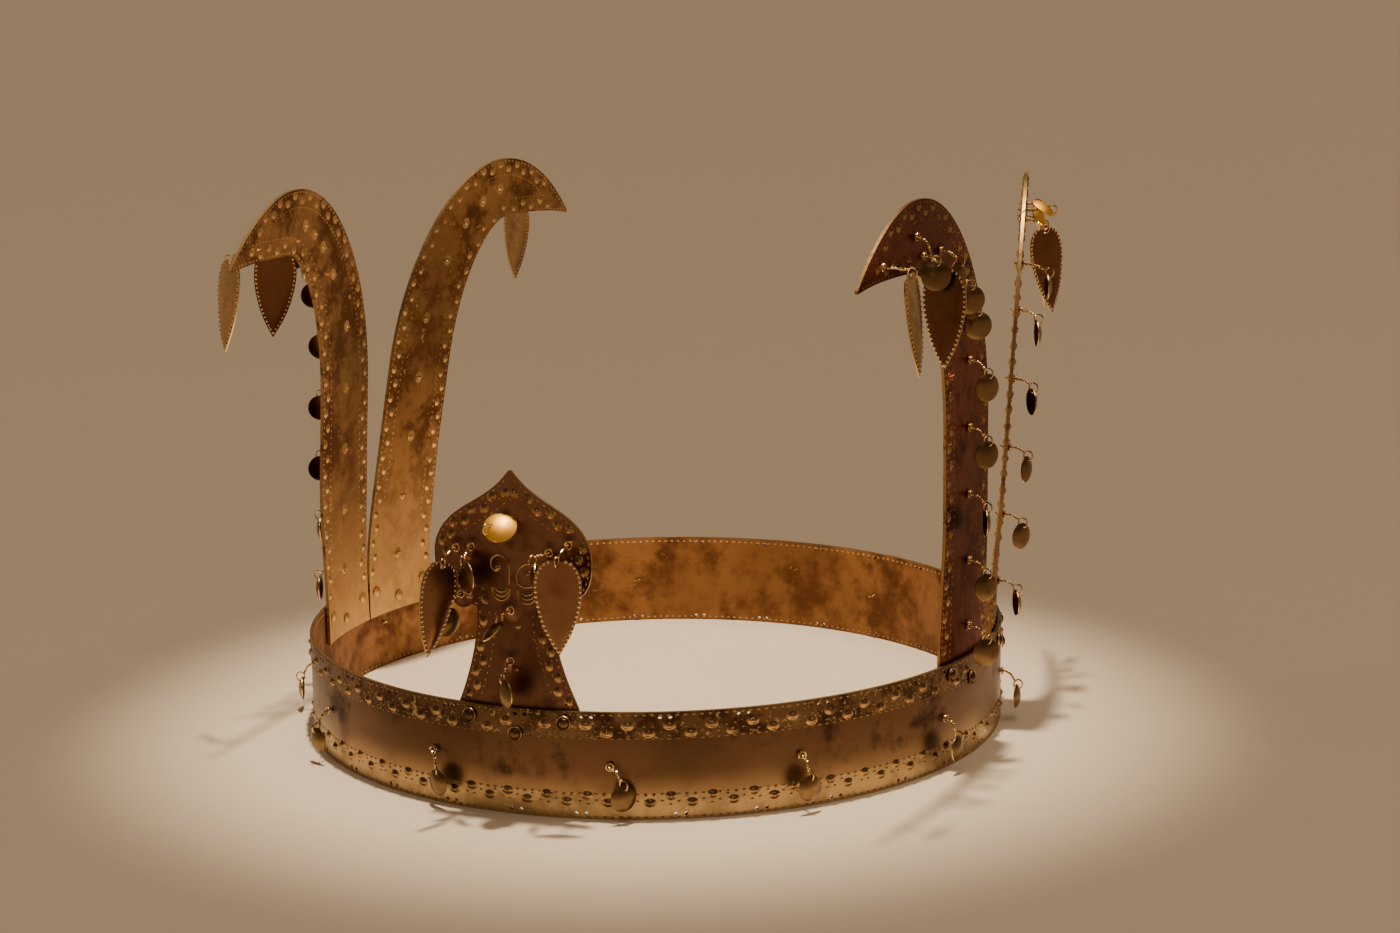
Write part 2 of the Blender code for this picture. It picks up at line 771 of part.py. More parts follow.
for name, seat, extra, fused, hooked in CROOKS:
    stand("upright_" + name, seat, crook_rows(extra), FOOT_WIDTH, hooked, fused)
    hang(name, seat, hooked)


def on_head(across, up):
    """A place on the front ornament's head, by shares of its half width and its shoulders' rise."""
    return (
        across * ORNAMENT_HEAD_WIDTH / 2,
        ORNAMENT_HEAD_LEVEL + up * ORNAMENT_SHOULDER_RISE,
    )


def on_neck(across, up):
    """A place on its neck, by shares of its half width and of its height above the band."""
    return (
        across * ORNAMENT_NECK_WIDTH / 2,
        BAND_HEIGHT + up * (ORNAMENT_NECK_LEVEL - BAND_HEIGHT),
    )


# Front ornament with six round spangles and two leaves
seat = Seat(0.0)
hooked = (
    Spangle(
        on_head(-0.02, 0.80),
        (15, 46, 125),
        FRONT_SPANGLE_RADIUS,
        FRONT_WIRE_REACH,
        FRONT_WIRE_DROOP,
        -35,
    ),
    Spangle(
        on_head(0.49, 0.11),
        (-69, 0, 0),
        CROOK_SPANGLE_RADIUS,
        WIRE_REACH,
        TAUT_WIRE_DROOP,
        -28,
    ),
    Spangle(on_head(-0.50, 0.13), (-39, 0, 0), FRONT_SPANGLE_RADIUS),
    Spangle(
        on_head(-0.66, -0.70),
        (60, 0, 0),
        CROOK_SPANGLE_RADIUS,
        WIRE_REACH,
        WIRE_DROOP,
        -15,
    ),
    Spangle(
        on_head(-0.02, -0.92),
        (-62, 50, 0),
        SPANGLE_RADIUS,
        WIRE_REACH,
        TAUT_WIRE_DROOP,
        -10,
    ),
    Spangle(
        on_neck(-0.09, 0.50),
        (-39, 0, 0),
        CROOK_SPANGLE_RADIUS,
        WIRE_REACH,
        LOOSE_WIRE_DROOP,
    ),
    Leaf(on_head(-0.70, 0.10), (70, 0, -16), LEAF_LENGTH, LEAF_WIRE_REACH),
    Leaf(on_head(0.74, 0.26), (14, 0, 0), LEAF_LENGTH, LEAF_WIRE_REACH),
)
stand("upright_front", seat, ornament_rows(), ORNAMENT_FOOT_WIDTH, hooked, [])
nodes[-1].name = "front_ornament"
hang("front", seat, hooked)

# Headband: a plain ring with holes for the rivets and for twelve hanging spangles
shape = bmesh.new()
profile = (
    (BAND_RADIUS, 0.0),
    (BAND_RADIUS, BAND_HEIGHT),
    (BAND_RADIUS - BAND_SHEET, BAND_HEIGHT),
    (BAND_RADIUS - BAND_SHEET, 0.0),
)
verts = [shape.verts.new((radius, 0, level)) for radius, level in profile]
edges = [shape.edges.new((verts[step], verts[(step + 1) % 4])) for step in range(4)]
bmesh.ops.spin(
    shape,
    geom=verts + edges,
    cent=(0, 0, 0),
    axis=(0, 0, 1),
    angle=2 * math.pi,
    steps=BAND_SIDES,
    use_merge=True,
)
band = mesh_object("headband", shape, BROWN, 0.5, False)
shape = bmesh.new()
for root, normal in rivet_roots:
    add_rod(
        shape,
        root + normal * GAP / 2,
        root + normal * (GAP + 3 * BAND_SHEET),
        RIVET_SHANK + RIVET_CLEARANCE,
        RIVET_SIDES,
    )
boolean(band, helper("band_rivet_holes", shape), "DIFFERENCE")
turns = (30, 12, 10, -8, 25, -45, 16, 40, -30, 5, 15, -12)
swings = (58, 4, -4, 10, -6, 8, 0, -12, 5, 0, 18, 48)
places = []
for number in range(BAND_SPANGLES):
    angle = number + 0.5 - (BAND_SPANGLES if number >= BAND_SPANGLES / 2 else 0)
    turn = FRONT + math.radians(BAND_SPANGLE_PITCH * angle)
    normal = Vector((math.cos(turn), math.sin(turn), 0))
    root = normal * BAND_RADIUS + Vector((0, 0, BAND_SPANGLE_LEVEL))
    places.append((root, normal))
    pose = (turns[number % len(turns)], 0, 0)
    swing = swings[number % len(swings)]
    hung = Spangle(None, pose, SPANGLE_RADIUS, BAND_WIRE_REACH, BAND_WIRE_DROOP, swing)
    nodes.append(hanger(f"spangle_band_{number + 1:02d}", root, normal, hung, BAND_SHEET))
boolean(band, wire_holes("band_wire_holes", places, BAND_SHEET), "DIFFERENCE")
nodes.append(band)

# The box around the whole crown is centred on the frame's upright axis
for item in nodes:
    bake(item)
corners = [vert.co.copy() for item in nodes for vert in item.data.vertices]
middle = Vector(
    (
        (min(point.x for point in corners) + max(point.x for point in corners)) / 2,
        (min(point.y for point in corners) + max(point.y for point in corners)) / 2,
        min(point.z for point in corners),
    )
)
for item in nodes:
    item.data.transform(Matrix.Translation(-middle))
for item in list(bpy.data.objects):
    if item.hide_render:
        bpy.data.objects.remove(item, do_unlink=True)
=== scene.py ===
import math

import bmesh
import bpy
import numpy as np
from mathutils import Matrix, Vector


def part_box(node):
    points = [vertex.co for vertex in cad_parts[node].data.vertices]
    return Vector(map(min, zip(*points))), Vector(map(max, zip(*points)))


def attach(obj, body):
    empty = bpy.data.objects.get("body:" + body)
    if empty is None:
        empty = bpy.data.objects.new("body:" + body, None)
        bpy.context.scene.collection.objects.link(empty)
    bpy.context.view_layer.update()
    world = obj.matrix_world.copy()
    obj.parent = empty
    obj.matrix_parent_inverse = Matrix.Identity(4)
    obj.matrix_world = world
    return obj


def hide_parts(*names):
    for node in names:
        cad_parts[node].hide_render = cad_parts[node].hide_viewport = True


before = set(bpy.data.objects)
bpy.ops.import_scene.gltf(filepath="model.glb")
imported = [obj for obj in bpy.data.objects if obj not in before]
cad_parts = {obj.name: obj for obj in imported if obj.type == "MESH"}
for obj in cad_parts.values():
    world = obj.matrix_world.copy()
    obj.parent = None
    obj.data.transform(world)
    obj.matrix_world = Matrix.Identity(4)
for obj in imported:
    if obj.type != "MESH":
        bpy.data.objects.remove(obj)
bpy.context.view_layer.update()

# Camera, floor and light: the photograph's view from the front right and a little above, on a
# plain pale floor. A soft lamp straight above lights a pool around the crown.
camera = bpy.data.objects.new("camera", bpy.data.cameras.new("camera"))
bpy.context.scene.collection.objects.link(camera)
camera.location = (0.21499, -0.54728, 0.17939)
camera.rotation_euler = (math.radians(79.0273), math.radians(0.9841), math.radians(19.9348))
camera.data.lens = 59.869
camera.data.sensor_width = 36.0
camera.data.clip_start = 0.01
bpy.context.scene.camera = camera

world = bpy.data.worlds.new("room")
bpy.context.scene.world = world
world.use_nodes = True
room = world.node_tree.nodes["Background"]
ways = world.node_tree.nodes.new("ShaderNodeTexCoord")
axes = world.node_tree.nodes.new("ShaderNodeSeparateXYZ")
rise = world.node_tree.nodes.new("ShaderNodeMapRange")
rise.interpolation_type = "SMOOTHSTEP"
rise.inputs["From Min"].default_value = 0.10
rise.inputs["From Max"].default_value = 0.36
tone = world.node_tree.nodes.new("ShaderNodeMix")
tone.data_type = "RGBA"
tone.inputs[6].default_value = (0.33, 0.215, 0.118, 1.0)
tone.inputs[7].default_value = (0.060, 0.042, 0.030, 1.0)
for first, last in (
    (ways.outputs["Generated"], axes.inputs[0]),
    (axes.outputs[2], rise.inputs["Value"]),
    (rise.outputs[0], tone.inputs[0]),
    (tone.outputs[2], room.inputs["Color"]),
):
    world.node_tree.links.new(first, last)
room.inputs["Strength"].default_value = 1.0

shape = bmesh.new()
bmesh.ops.create_circle(shape, cap_ends=True, segments=96, radius=60.0)
floor = bpy.data.objects.new("floor", bpy.data.meshes.new("floor"))
shape.to_mesh(floor.data)
shape.free()
bpy.context.scene.collection.objects.link(floor)
pale = bpy.data.materials.new("pale_floor")
pale.use_nodes = True
surface = pale.node_tree.nodes["Principled BSDF"]
surface.inputs["Base Color"].default_value = (0.68, 0.585, 0.455, 1.0)
surface.inputs["Roughness"].default_value = 0.75
surface.inputs["Specular IOR Level"].default_value = 0.2
floor.data.materials.append(pale)


def lamp(name, kind, place, aim, power, color, **settings):
    light = bpy.data.lights.new(name, kind)
    light.energy = power
    light.color = color
    for key, value in settings.items():
        setattr(light, key, value)
    item = bpy.data.objects.new(name, light)
    bpy.context.scene.collection.objects.link(item)
    item.location = place
    item.rotation_euler = (Vector(aim) - Vector(place)).to_track_quat("-Z", "Y").to_euler()


WARM = (1.0, 0.81, 0.60)
sun_angle = math.radians(50)
lamp("sky", "SUN", (0.3, 0.2, 2.0), (0, 0, 0), 1.35, (1.0, 0.76, 0.55), angle=sun_angle)
cone = math.radians(12.6)
pool = {"spot_size": cone, "spot_blend": 0.40, "shadow_soft_size": 0.03}
lamp("lamp_above", "SPOT", (0.0, 0.03, 1.30), (0, 0.004, 0), 98.0, WARM, **pool)
glint = {"shape": "DISK", "size": 0.06}
lamp("lamp_left", "AREA", (-0.75, -0.45, 0.95), (0, 0, 0.05), 0.3, WARM, **glint)
lamp("lamp_right", "AREA", (0.65, 0.15, 1.05), (0, 0, 0.05), 0.3, WARM, **glint)
lamp("lamp_front", "AREA", (0.15, -0.95, 0.90), (0, 0, 0.05), 0.2, WARM, **glint)

# Headband: one strip of bronze sheet closed into a hoop. A border of raised bosses between
# punched waves and two punched lines runs along both edges, and pairs of small holes pierce
# them for lacing. Outside it is a dark even skin, the darkness painted shade of the side turned
# from the lamps, and inside it is paler and blotched, the paleness painted light and the
# blotches real stains; its lowest edge is painted brighter, a painted glow from the bright floor.
BAND_RADIUS = 0.0900
BAND_HEIGHT = 0.0253
BAND_SHEET = 0.0009
BORDER_WIDTH = 0.0061
WAVES = 59
DASHES = 300
LINE_DASH = (0.00058, 0.00030, 0.00026)
WAVE_DASH = (0.00050, 0.00028, 0.00024)
BACK_DASH = (0.00050, 0.00034, 0.00024)
BAND_BOSS = (0.00165, 0.00122, 0.00075)
EDGE_LINE = 0.0006
BACK_LINE = 0.0010
WAVE_LINES = (0.0048, BAND_HEIGHT - 0.0042)
WAVE_SWAY = 0.00115
BOSS_ROWS = ((0.0040, 0.0016), (BAND_HEIGHT - 0.0049, 0.0018))
PAIR_DEGREES = 1.5
HOLE_RADIUS = 0.00046
COLUMNS = 720
CROOK_ANGLES = {"left_front": -84.6, "left_back": -102.7, "right_front": 79.6, "right_back": 102.0}
RIVET_LEVELS = (0.0226, 0.0194, 0.0226)
RIVET_ROOM = 0.0026
FRONT_SPREAD = 7.48
FOOT_SPREAD = 6.65
corner_low, corner_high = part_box("headband")
CENTRE = (corner_low + corner_high) / 2
CENTRE.z = 0.0


class Field:
    """One shader value or colour; arithmetic on it adds Math nodes to its tree."""

    def __init__(self, tree, socket):
        self.tree = tree
        self.socket = socket

    def node(self, kind, sockets, settings=(), out=0):
        made = self.tree.nodes.new(kind)
        for key, value in settings:
            setattr(made, key, value)
        for key, value in sockets:
            if isinstance(value, Field):
                self.tree.links.new(value.socket, made.inputs[key])
            else:
                made.inputs[key].default_value = value
        return Field(self.tree, made.outputs[out])

    def math(self, operation, first, second):
        sockets = ((0, first), (1, second))
        return self.node("ShaderNodeMath", sockets, (("operation", operation),))

    def __add__(self, other):
        return self.math("ADD", self, other)

    __radd__ = __add__

    def __sub__(self, other):
        return self.math("SUBTRACT", self, other)

    def __rsub__(self, other):
        return self.math("SUBTRACT", other, self)

    def __mul__(self, other):
        return self.math("MULTIPLY", self, other)

    __rmul__ = __mul__

    def ramp(self, low, high):
        """Zero below low, one above high, and smooth between."""
        sockets = (("Value", self), ("From Min", low), ("From Max", high))
        return self.node("ShaderNodeMapRange", sockets, (("interpolation_type", "SMOOTHSTEP"),))

    def noise(self, scale, detail, rough):
        """Noise at this place, when the field is a place."""
        sockets = (("Vector", self), ("Scale", scale), ("Detail", detail), ("Roughness", rough))
        return self.node("ShaderNodeTexNoise", sockets)

    def blend(self, first, second):
        """The first colour where this is zero, the second where it is one."""
        made = self.tree.nodes.new("ShaderNodeMix")
        made.data_type = "RGBA"
        self.tree.links.new(self.socket, made.inputs[0])
        for slot, value in ((6, first), (7, second)):
            if isinstance(value, Field):
                self.tree.links.new(value.socket, made.inputs[slot])
            else:
                made.inputs[slot].default_value = (*value, 1.0)
        return Field(self.tree, made.outputs[2])


def metal(name, dark, main, bright, wear, rough, blotch, soft=0.08, bumpy=0.35, rise=None):
    """A gilt bronze: dark blotches, the main skin and bright specks of worn gilding, which on the
    bosses are also painted glints.

    wear is the share of dark blotches and of bright specks, blotch how close the blotches lie
    and soft the width of their rims. rise gives painted light: the level in metres below which
    the bright colour is painted on as a glow from the bright floor below, the level above which
    it isn't, and how far the bright colour takes over.
    """
    ragged = 0.004
    made = bpy.data.materials.new(name)
    made.use_nodes = True
    tree = made.node_tree
    out = tree.nodes["Principled BSDF"]
    coords = tree.nodes.new("ShaderNodeTexCoord")
    place = Field(tree, coords.outputs["Object"])
    large = place.noise(blotch, 5.0, 0.62)
    small = place.noise(blotch * 4.5, 4.0, 0.6)
    grain = place.noise(1500.0, 3.0, 0.6)
    broad = place.noise(22.0, 3.0, 0.5).ramp(0.36, 0.64)
    edge = 0.66 - wear[0] * 0.35
    stain = (large * 0.7 + small * 0.3).ramp(edge - soft / 2, edge + soft / 2)
    # Bright specks: worn gilding, and on the bosses also painted glints.
    speck = (small * 0.75 + grain * 0.25).ramp(0.70 - wear[1] * 0.3, 0.78 - wear[1] * 0.3)
    pale = [value * 1.22 for value in main]
    color = broad.blend([value * 0.78 for value in main], pale)
    color = stain.blend(color, dark)
    color = (speck * 0.8).blend(color, bright)
    # Painted light: below the rise levels the bright colour is painted on, a glow standing for light
    # from the bright floor below.
    if rise:
        foot, top, most = rise
        level = place.node("ShaderNodeSeparateXYZ", (("Vector", place),), out=2)
        level = level + large * ragged
        low = 1.0 - level.ramp(foot + ragged / 2, top + ragged / 2)
        color = (low * most).blend(color, bright)
    tree.links.new(color.socket, out.inputs["Base Color"])
    gloss = stain * 0.16 + small * 0.12 + (rough - 0.06)
    tree.links.new(gloss.socket, out.inputs["Roughness"])
    out.inputs["Metallic"].default_value = 1.0
    height = small * 0.6 + grain * 0.4
    bump = place.node(
        "ShaderNodeBump", (("Strength", bumpy), ("Distance", 0.00012), ("Height", height))
    )
    tree.links.new(bump.socket, out.inputs["Normal"])
    return made


# Painted shade: the dark outside colour stands for shade on the side turned from the lamps; its
# blotches are real stains. Below 4 mm, fading out by 12 mm, a painted glow from the bright floor below.
BAND_OUTER = metal(
    "gilt_band_outer_painted_shade_and_glow", (0.07, 0.036, 0.022), (0.150, 0.082, 0.044), (0.42, 0.27, 0.13),
    (0.24, 0.10), 0.35, 60.0, 0.16, 0.25, (0.004, 0.012, 0.75),
)
# The border lies outside too: its darkness is painted shade, its blotches real stains, and its lowest
# edge a painted glow from the bright floor below.
BAND_BORDER = metal(
    "gilt_band_border_painted_shade_and_glow", (0.07, 0.036, 0.020), (0.190, 0.112, 0.056), (0.62, 0.44, 0.22),
    (0.44, 0.46), 0.32, 120.0, 0.14, 0.40, (0.004, 0.012, 0.60),
)
# Painted light: the paler inside colour stands for light on the inner face; its blotches are real
# stains.
BAND_INNER = metal(
    "gilt_band_inner_painted_light", (0.16, 0.070, 0.030), (0.32, 0.160, 0.066), (0.62, 0.39, 0.16),
    (0.42, 0.22), 0.44, 55.0, 0.20,
)
GOLD_RAISED = metal(
    "gilt_raised", (0.20, 0.110, 0.045), (0.46, 0.280, 0.115), (0.80, 0.56, 0.26),
    (0.24, 0.22), 0.30, 200.0,
)
# Painted light: the raised marks inside are paler than those outside, standing for light on the inner
# face.
GOLD_INNER = metal(
    "gilt_raised_inner_painted_light", (0.44, 0.26, 0.11), (0.72, 0.48, 0.22), (0.88, 0.66, 0.34),
    (0.20, 0.22), 0.36, 200.0,
)
GOLD_EDGE = metal(
    "gilt_cut_edge", (0.20, 0.11, 0.050), (0.46, 0.29, 0.125), (0.95, 0.72, 0.40),
    (0.30, 0.24), 0.34, 200.0,
)
# Painted highlight: the bosses are paler gold than the sheet round them, with many bright specks,
# standing for the glints on their domes.
BOSS_GILT_AND_GLINT = metal(
    "gilt_boss_painted_glint", (0.17, 0.095, 0.045), (0.42, 0.255, 0.115), (0.95, 0.72, 0.38),
    (0.26, 0.36), 0.26, 210.0, 0.10, 0.40,
)
OUTER, INNER, RAISED, INNER_RAISED, CUT_EDGE, BOSS, BORDER = range(7)


def spun(profile, sides):
    """A round shape: points of (reach, height), turned about the upright axis."""
    shape = bmesh.new()
    verts = [shape.verts.new((reach, 0, height)) for reach, height in profile]
    edges = [shape.edges.new(pair) for pair in zip(verts, verts[1:])]
    bmesh.ops.spin(
        shape, geom=verts + edges, cent=(0, 0, 0), axis=(0, 0, 1),
        angle=2 * math.pi, steps=sides, use_merge=True,
    )
    bmesh.ops.remove_doubles(shape, verts=shape.verts, dist=0.00001)
    return shape


def taken(shape):
    """The points of a bmesh, its faces by point number, and their material indexes."""
    shape.verts.index_update()
    points = np.array([vert.co[:] for vert in shape.verts])
    faces = [[vert.index for vert in face.verts] for face in shape.faces]
    marks = [face.material_index for face in shape.faces]
    shape.free()
    return points, faces, marks


class Heap:
    """Small closed shapes that become one piece. A face's tone is the number of its material."""

    bosses = {}

    def __init__(self):
        self.points = []
        self.faces = []
        self.tones = []
        self.count = 0

    def add(self, points, faces, tones):
        self.points.append(points)
        self.faces += [[index + self.count for index in face] for face in faces]
        self.tones += tones
        self.count += len(points)

    def take(self, shape, tones):
        """A whole bmesh; tones holds a tone for each material index that it uses."""
        points, faces, marks = taken(shape)
        self.add(points, faces, [tones[mark] for mark in marks])

    def boss(self, middle, normal, along, sizes, tone, sides, rings):
        """A raised oval boss, from its half lengths along and across, and its height."""
        buried, foot_depth = 0.00004, 0.0001
        middle, normal, along = np.array(middle), np.array(normal), np.array(along)
        normal = normal / np.linalg.norm(normal)
        along = along - normal * np.dot(along, normal)
        along = along / np.linalg.norm(along)
        half, wide, high = sizes
        if (sides, rings) not in Heap.bosses:
            shares = [1 - ring / rings for ring in range(rings + 1)]
            slope = [(share, 0.5 + 0.5 * math.cos(math.pi * share)) for share in shares]
            Heap.bosses[sides, rings] = taken(spun([(0, -1)] + slope, sides))
        local, faces, _ = Heap.bosses[sides, rings]
        axes = np.stack((along * half, np.cross(normal, along) * wide, normal * high))
        is_foot = local[:, 2:] < -0.5
        sink = normal * (is_foot * foot_depth + buried)
        self.add(middle + (local * ~is_foot) @ axes - sink, faces, [tone] * len(faces))

    def tube(self, path, radius, tone, sides=6, closed=False):
        """A round wire along points, with its ends capped or as a closed ring."""
        path = np.asarray(path, float)
        count = len(path)
        if closed:
            run = np.roll(path, -1, 0) - np.roll(path, 1, 0)
        else:
            run = np.gradient(path, axis=0)
        run /= np.linalg.norm(run, axis=1)[:, None]
        side = np.cross(run[0], (0, 0, 1))
        if np.linalg.norm(side) < 0.05:
            side = np.cross(run[0], (1, 0, 0))
        sides_at = []
        for way in run:
            side = side - way * np.dot(side, way)
            side = side / np.linalg.norm(side)
            sides_at.append(side)
        sides_at = np.array(sides_at)
        over = np.cross(run, sides_at)
        points = []
        for step in range(sides):
            turn = 2 * math.pi * step / sides
            points.append(path + (sides_at * math.cos(turn) + over * math.sin(turn)) * radius)
        points = np.stack(points, 1).reshape(-1, 3)
        faces = []
        for step in range(count if closed else count - 1):
            low, high = step * sides, ((step + 1) % count) * sides
            for turn in range(sides):
                after = (turn + 1) % sides
                faces.append((low + turn, low + after, high + after, high + turn))
        if not closed:
            faces += [range(sides), range((count - 1) * sides, count * sides)]
        self.add(points, faces, [tone] * len(faces))

    def build(self, name, materials, slot, nodes, sharp=38.0):
        """One piece that stands for CAD nodes, or goes with them where nodes is empty."""
        mesh = bpy.data.meshes.new(name)
        mesh.from_pydata(np.concatenate(self.points).tolist(), [], self.faces)
        for item in materials:
            mesh.materials.append(item)
        mesh.polygons.foreach_set("material_index", self.tones)
        shape = bmesh.new()
        shape.from_mesh(mesh)
        bmesh.ops.recalc_face_normals(shape, faces=shape.faces)
        shape.to_mesh(mesh)
        shape.free()
        mesh.polygons.foreach_set("use_smooth", [True] * len(mesh.polygons))
        mesh.set_sharp_from_angle(angle=math.radians(sharp))
        item = bpy.data.objects.new(name, mesh)
        bpy.context.scene.collection.objects.link(item)
        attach(item, "root")
        if nodes:
            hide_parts(*nodes)


def on_band(angle, level, out=0.0):
    """A place on the band: angle in degrees from the front toward the right."""
    turn = math.radians(angle - 90)
    reach = BAND_RADIUS + out
    return np.array(
        (CENTRE.x + reach * math.cos(turn), CENTRE.y + reach * math.sin(turn), level)
    )


def band_directions(angle):
    """The ways outward and along the band."""
    turn = math.radians(angle - 90)
    normal = np.array((math.cos(turn), math.sin(turn), 0.0))
    return normal, np.array((-normal[1], normal[0], 0.0))


edge_rows = [0.0, 0.0004, 0.00085, 0.0013, 0.00175, 0.0026, 0.0040, BORDER_WIDTH]
levels = edge_rows + [0.0095, 0.01265, 0.0158] + [BAND_HEIGHT - row for row in edge_rows[::-1]]
shape = bmesh.new()
verts = [shape.verts.new(on_band(0, level)) for level in levels]
edges = [shape.edges.new(pair) for pair in zip(verts, verts[1:])]
bmesh.ops.spin(
    shape, geom=verts + edges, cent=CENTRE, axis=(0, 0, 1),
    angle=2 * math.pi, steps=COLUMNS, use_merge=True,
)
grid = {}
for vert in shape.verts:
    turn = math.degrees(math.atan2(vert.co.x - CENTRE.x, CENTRE.y - vert.co.y))
    row = min(range(len(levels)), key=lambda row: abs(levels[row] - vert.co.z))
    grid[row, round(turn * COLUMNS / 360) % COLUMNS] = vert
top_pairs = [-22.8, -11.1, 0.5, 11.0, 22.1, 33.8, 46.2, 59.4]
low_pairs = [-23.0, -11.3, -0.1, 10.0, 24.3, 36.1, 48.4, 60.8]
hidden_pairs = [71.5 + 12.1 * step for step in range(22)]
neighbours = [(row, column) for row in (-1, 0, 1) for column in (-1, 0, 1) if row or column]
pierced = []
for row, angles in ((3, low_pairs), (len(levels) - 4, top_pairs)):
    for angle in angles + hidden_pairs:
        first = round((angle - PAIR_DEGREES / 2) * COLUMNS / 360)
        for column in (first, first + round(PAIR_DEGREES * COLUMNS / 360)):
            pierced.append(grid[row, column % COLUMNS])
            for step_row, step_column in neighbours:
                run = step_column * 2 * math.pi * BAND_RADIUS / COLUMNS
                rise = levels[row + step_row] - levels[row]
                scale = HOLE_RADIUS / math.hypot(run, rise)
                around = column * 360 / COLUMNS + math.degrees(run * scale / BAND_RADIUS)
                vert = grid[row + step_row, (column + step_column) % COLUMNS]
                vert.co = on_band(around, levels[row] + rise * scale)
bmesh.ops.delete(shape, geom=pierced, context="VERTS")
made = bmesh.ops.extrude_face_region(shape, geom=shape.faces[:])["geom"]
inner = {item for item in made if isinstance(item, bmesh.types.BMVert)}
share = 1 - BAND_SHEET / BAND_RADIUS
bmesh.ops.scale(
    shape, vec=(share, share, 1), space=Matrix.Translation(-CENTRE), verts=list(inner)
)
for face in shape.faces:
    heights = [vert.co.z for vert in face.verts]
    inside = sum(vert in inner for vert in face.verts)
    if inside == len(face.verts):
        face.material_index = INNER
    elif inside == 0:
        level = sum(heights) / len(heights)
        in_border = not BORDER_WIDTH < level < BAND_HEIGHT - BORDER_WIDTH
        face.material_index = BORDER if in_border else OUTER
    elif max(heights) < 0.00001 or min(heights) > BAND_HEIGHT - 0.00001:
        face.material_index = CUT_EDGE
band = Heap()
band.take(shape, range(7))

riveted = []
for middle, spread in [(0.0, FRONT_SPREAD)] + [(angle, FOOT_SPREAD) for angle in CROOK_ANGLES.values()]:
    for side, level in zip((-1, 0, 1), RIVET_LEVELS):
        riveted.append(on_band(middle + side * spread, level))
wave = 360.0 / WAVES
for number in range(DASHES):
    angle = number * 360.0 / DASHES
    normal, along = band_directions(angle)
    for level in (EDGE_LINE, BORDER_WIDTH, BAND_HEIGHT - BORDER_WIDTH, BAND_HEIGHT - EDGE_LINE):
        band.boss(on_band(angle, level), normal, along, LINE_DASH, RAISED, 6, 2)
    for level in (BACK_LINE, BAND_HEIGHT - BACK_LINE):
        place = on_band(angle, level, -BAND_SHEET)
        band.boss(place, -normal, along, BACK_DASH, INNER_RAISED, 6, 2)
    sway = WAVE_SWAY * math.sin(2 * math.pi * angle / wave)
    for level in WAVE_LINES:
        band.boss(on_band(angle, level + sway), normal, along, WAVE_DASH, RAISED, 6, 2)
for number in range(WAVES):
    for half in (0, 1):
        angle = (number + 0.75 - half * 0.5) * wave
        normal, along = band_directions(angle)
        for level, shift in BOSS_ROWS:
            place = on_band(angle, level + shift * (half == 0))
            if min(math.dist(place, rivet) for rivet in riveted) > RIVET_ROOM:
                band.boss(place, normal, along, BAND_BOSS, BOSS, 12, 4)
band.build(
    "headband_sheet",
    (BAND_OUTER, BAND_INNER, GOLD_RAISED, GOLD_INNER, GOLD_EDGE, BOSS_GILT_AND_GLINT, BAND_BORDER),
    "band_gilt_bronze",
    ["headband"],
)


# Uprights: four tall hooked plates of bronze sheet riveted behind the band, two at each side.
# Both edges carry a punched line and a border of raised bosses, and each plate has bent a
# little. Outside they are dark and reddish, the darkness painted shade of the faces turned
# from the lamps; inside the gilding is paler, painted light, and stained, and it is painted
# brighter still toward the foot as a glow from the bright floor below.
PLATE_SHEET = 0.0008
FACE_RADIUS = 0.0888
FOOT_LEVEL = 0.0155
FLAT_LEVEL = 0.0620
BEND_RUN = 0.0160
HALF_FOOT = 0.0137
HALF_STEM = 0.0128
CROOK_TOP = 0.1380
CROOK_TOP_REACH = 0.0270
BEAK_REACH = 0.0605
BEAK_TIP_LEVEL = 0.1200
UNDER_BEAK_LEVEL = 0.1217
UNDER_BEAK_REACH = 0.0330
BACK_CURVE_LEVEL = 0.0830
THROAT_CURVE_LEVEL = 0.0820
BACK_SHARE = 0.62
THROAT_SHARE = 0.66
LEAF_EDGE = 0.0034
EDGE_DASH = (0.00050, 0.00030, 0.00026)
PLATE_DASH = (0.00046, 0.00026, 0.00022)
PLATE_BOSS = (0.00138, 0.00116, 0.00062)
ROOT_BOSS = (0.0020, 0.0018, 0.0006)
CROOK_SPANGLE_RADIUS = 0.0034
CROOK_LEAF_LENGTH = 0.0228
OUTER_LINE = 0.0007
WAVE_LINE = 0.0024
PLATE_SWAY = 0.0007
INNER_LINE = 0.0046
BOSS_LINE = 0.0016
BOSS_ZIGZAG = 0.0013
CROOK_PITCH = 0.0041
DASH_PITCH = 0.00165
BORDER_START = 0.0012
TOO_NARROW = 0.0022
BORDERS_MEET = 0.0085
# Painted shade: the dark outside colour stands for shade on the faces turned from the lamps; its
# blotches are real stains.
PLATE_OUTER = metal(
    "gilt_plate_outer_painted_shade", (0.075, 0.013, 0.005), (0.180, 0.032, 0.011), (0.46, 0.20, 0.075),
    (0.34, 0.30), 0.30, 70.0, 0.22, 0.25,
)
# Painted light: the paler inside colour stands for light on the inner faces, and below 2 cm, fading out
# by 7 cm, a glow from the bright floor below is painted on; its blotches are real stains.
PLATE_INNER = metal(
    "gilt_plate_inner_painted_light", (0.21, 0.095, 0.040), (0.46, 0.262, 0.108), (0.92, 0.62, 0.27),
    (0.44, 0.34), 0.44, 75.0, 0.16, 0.35, (0.020, 0.070, 0.68),
)


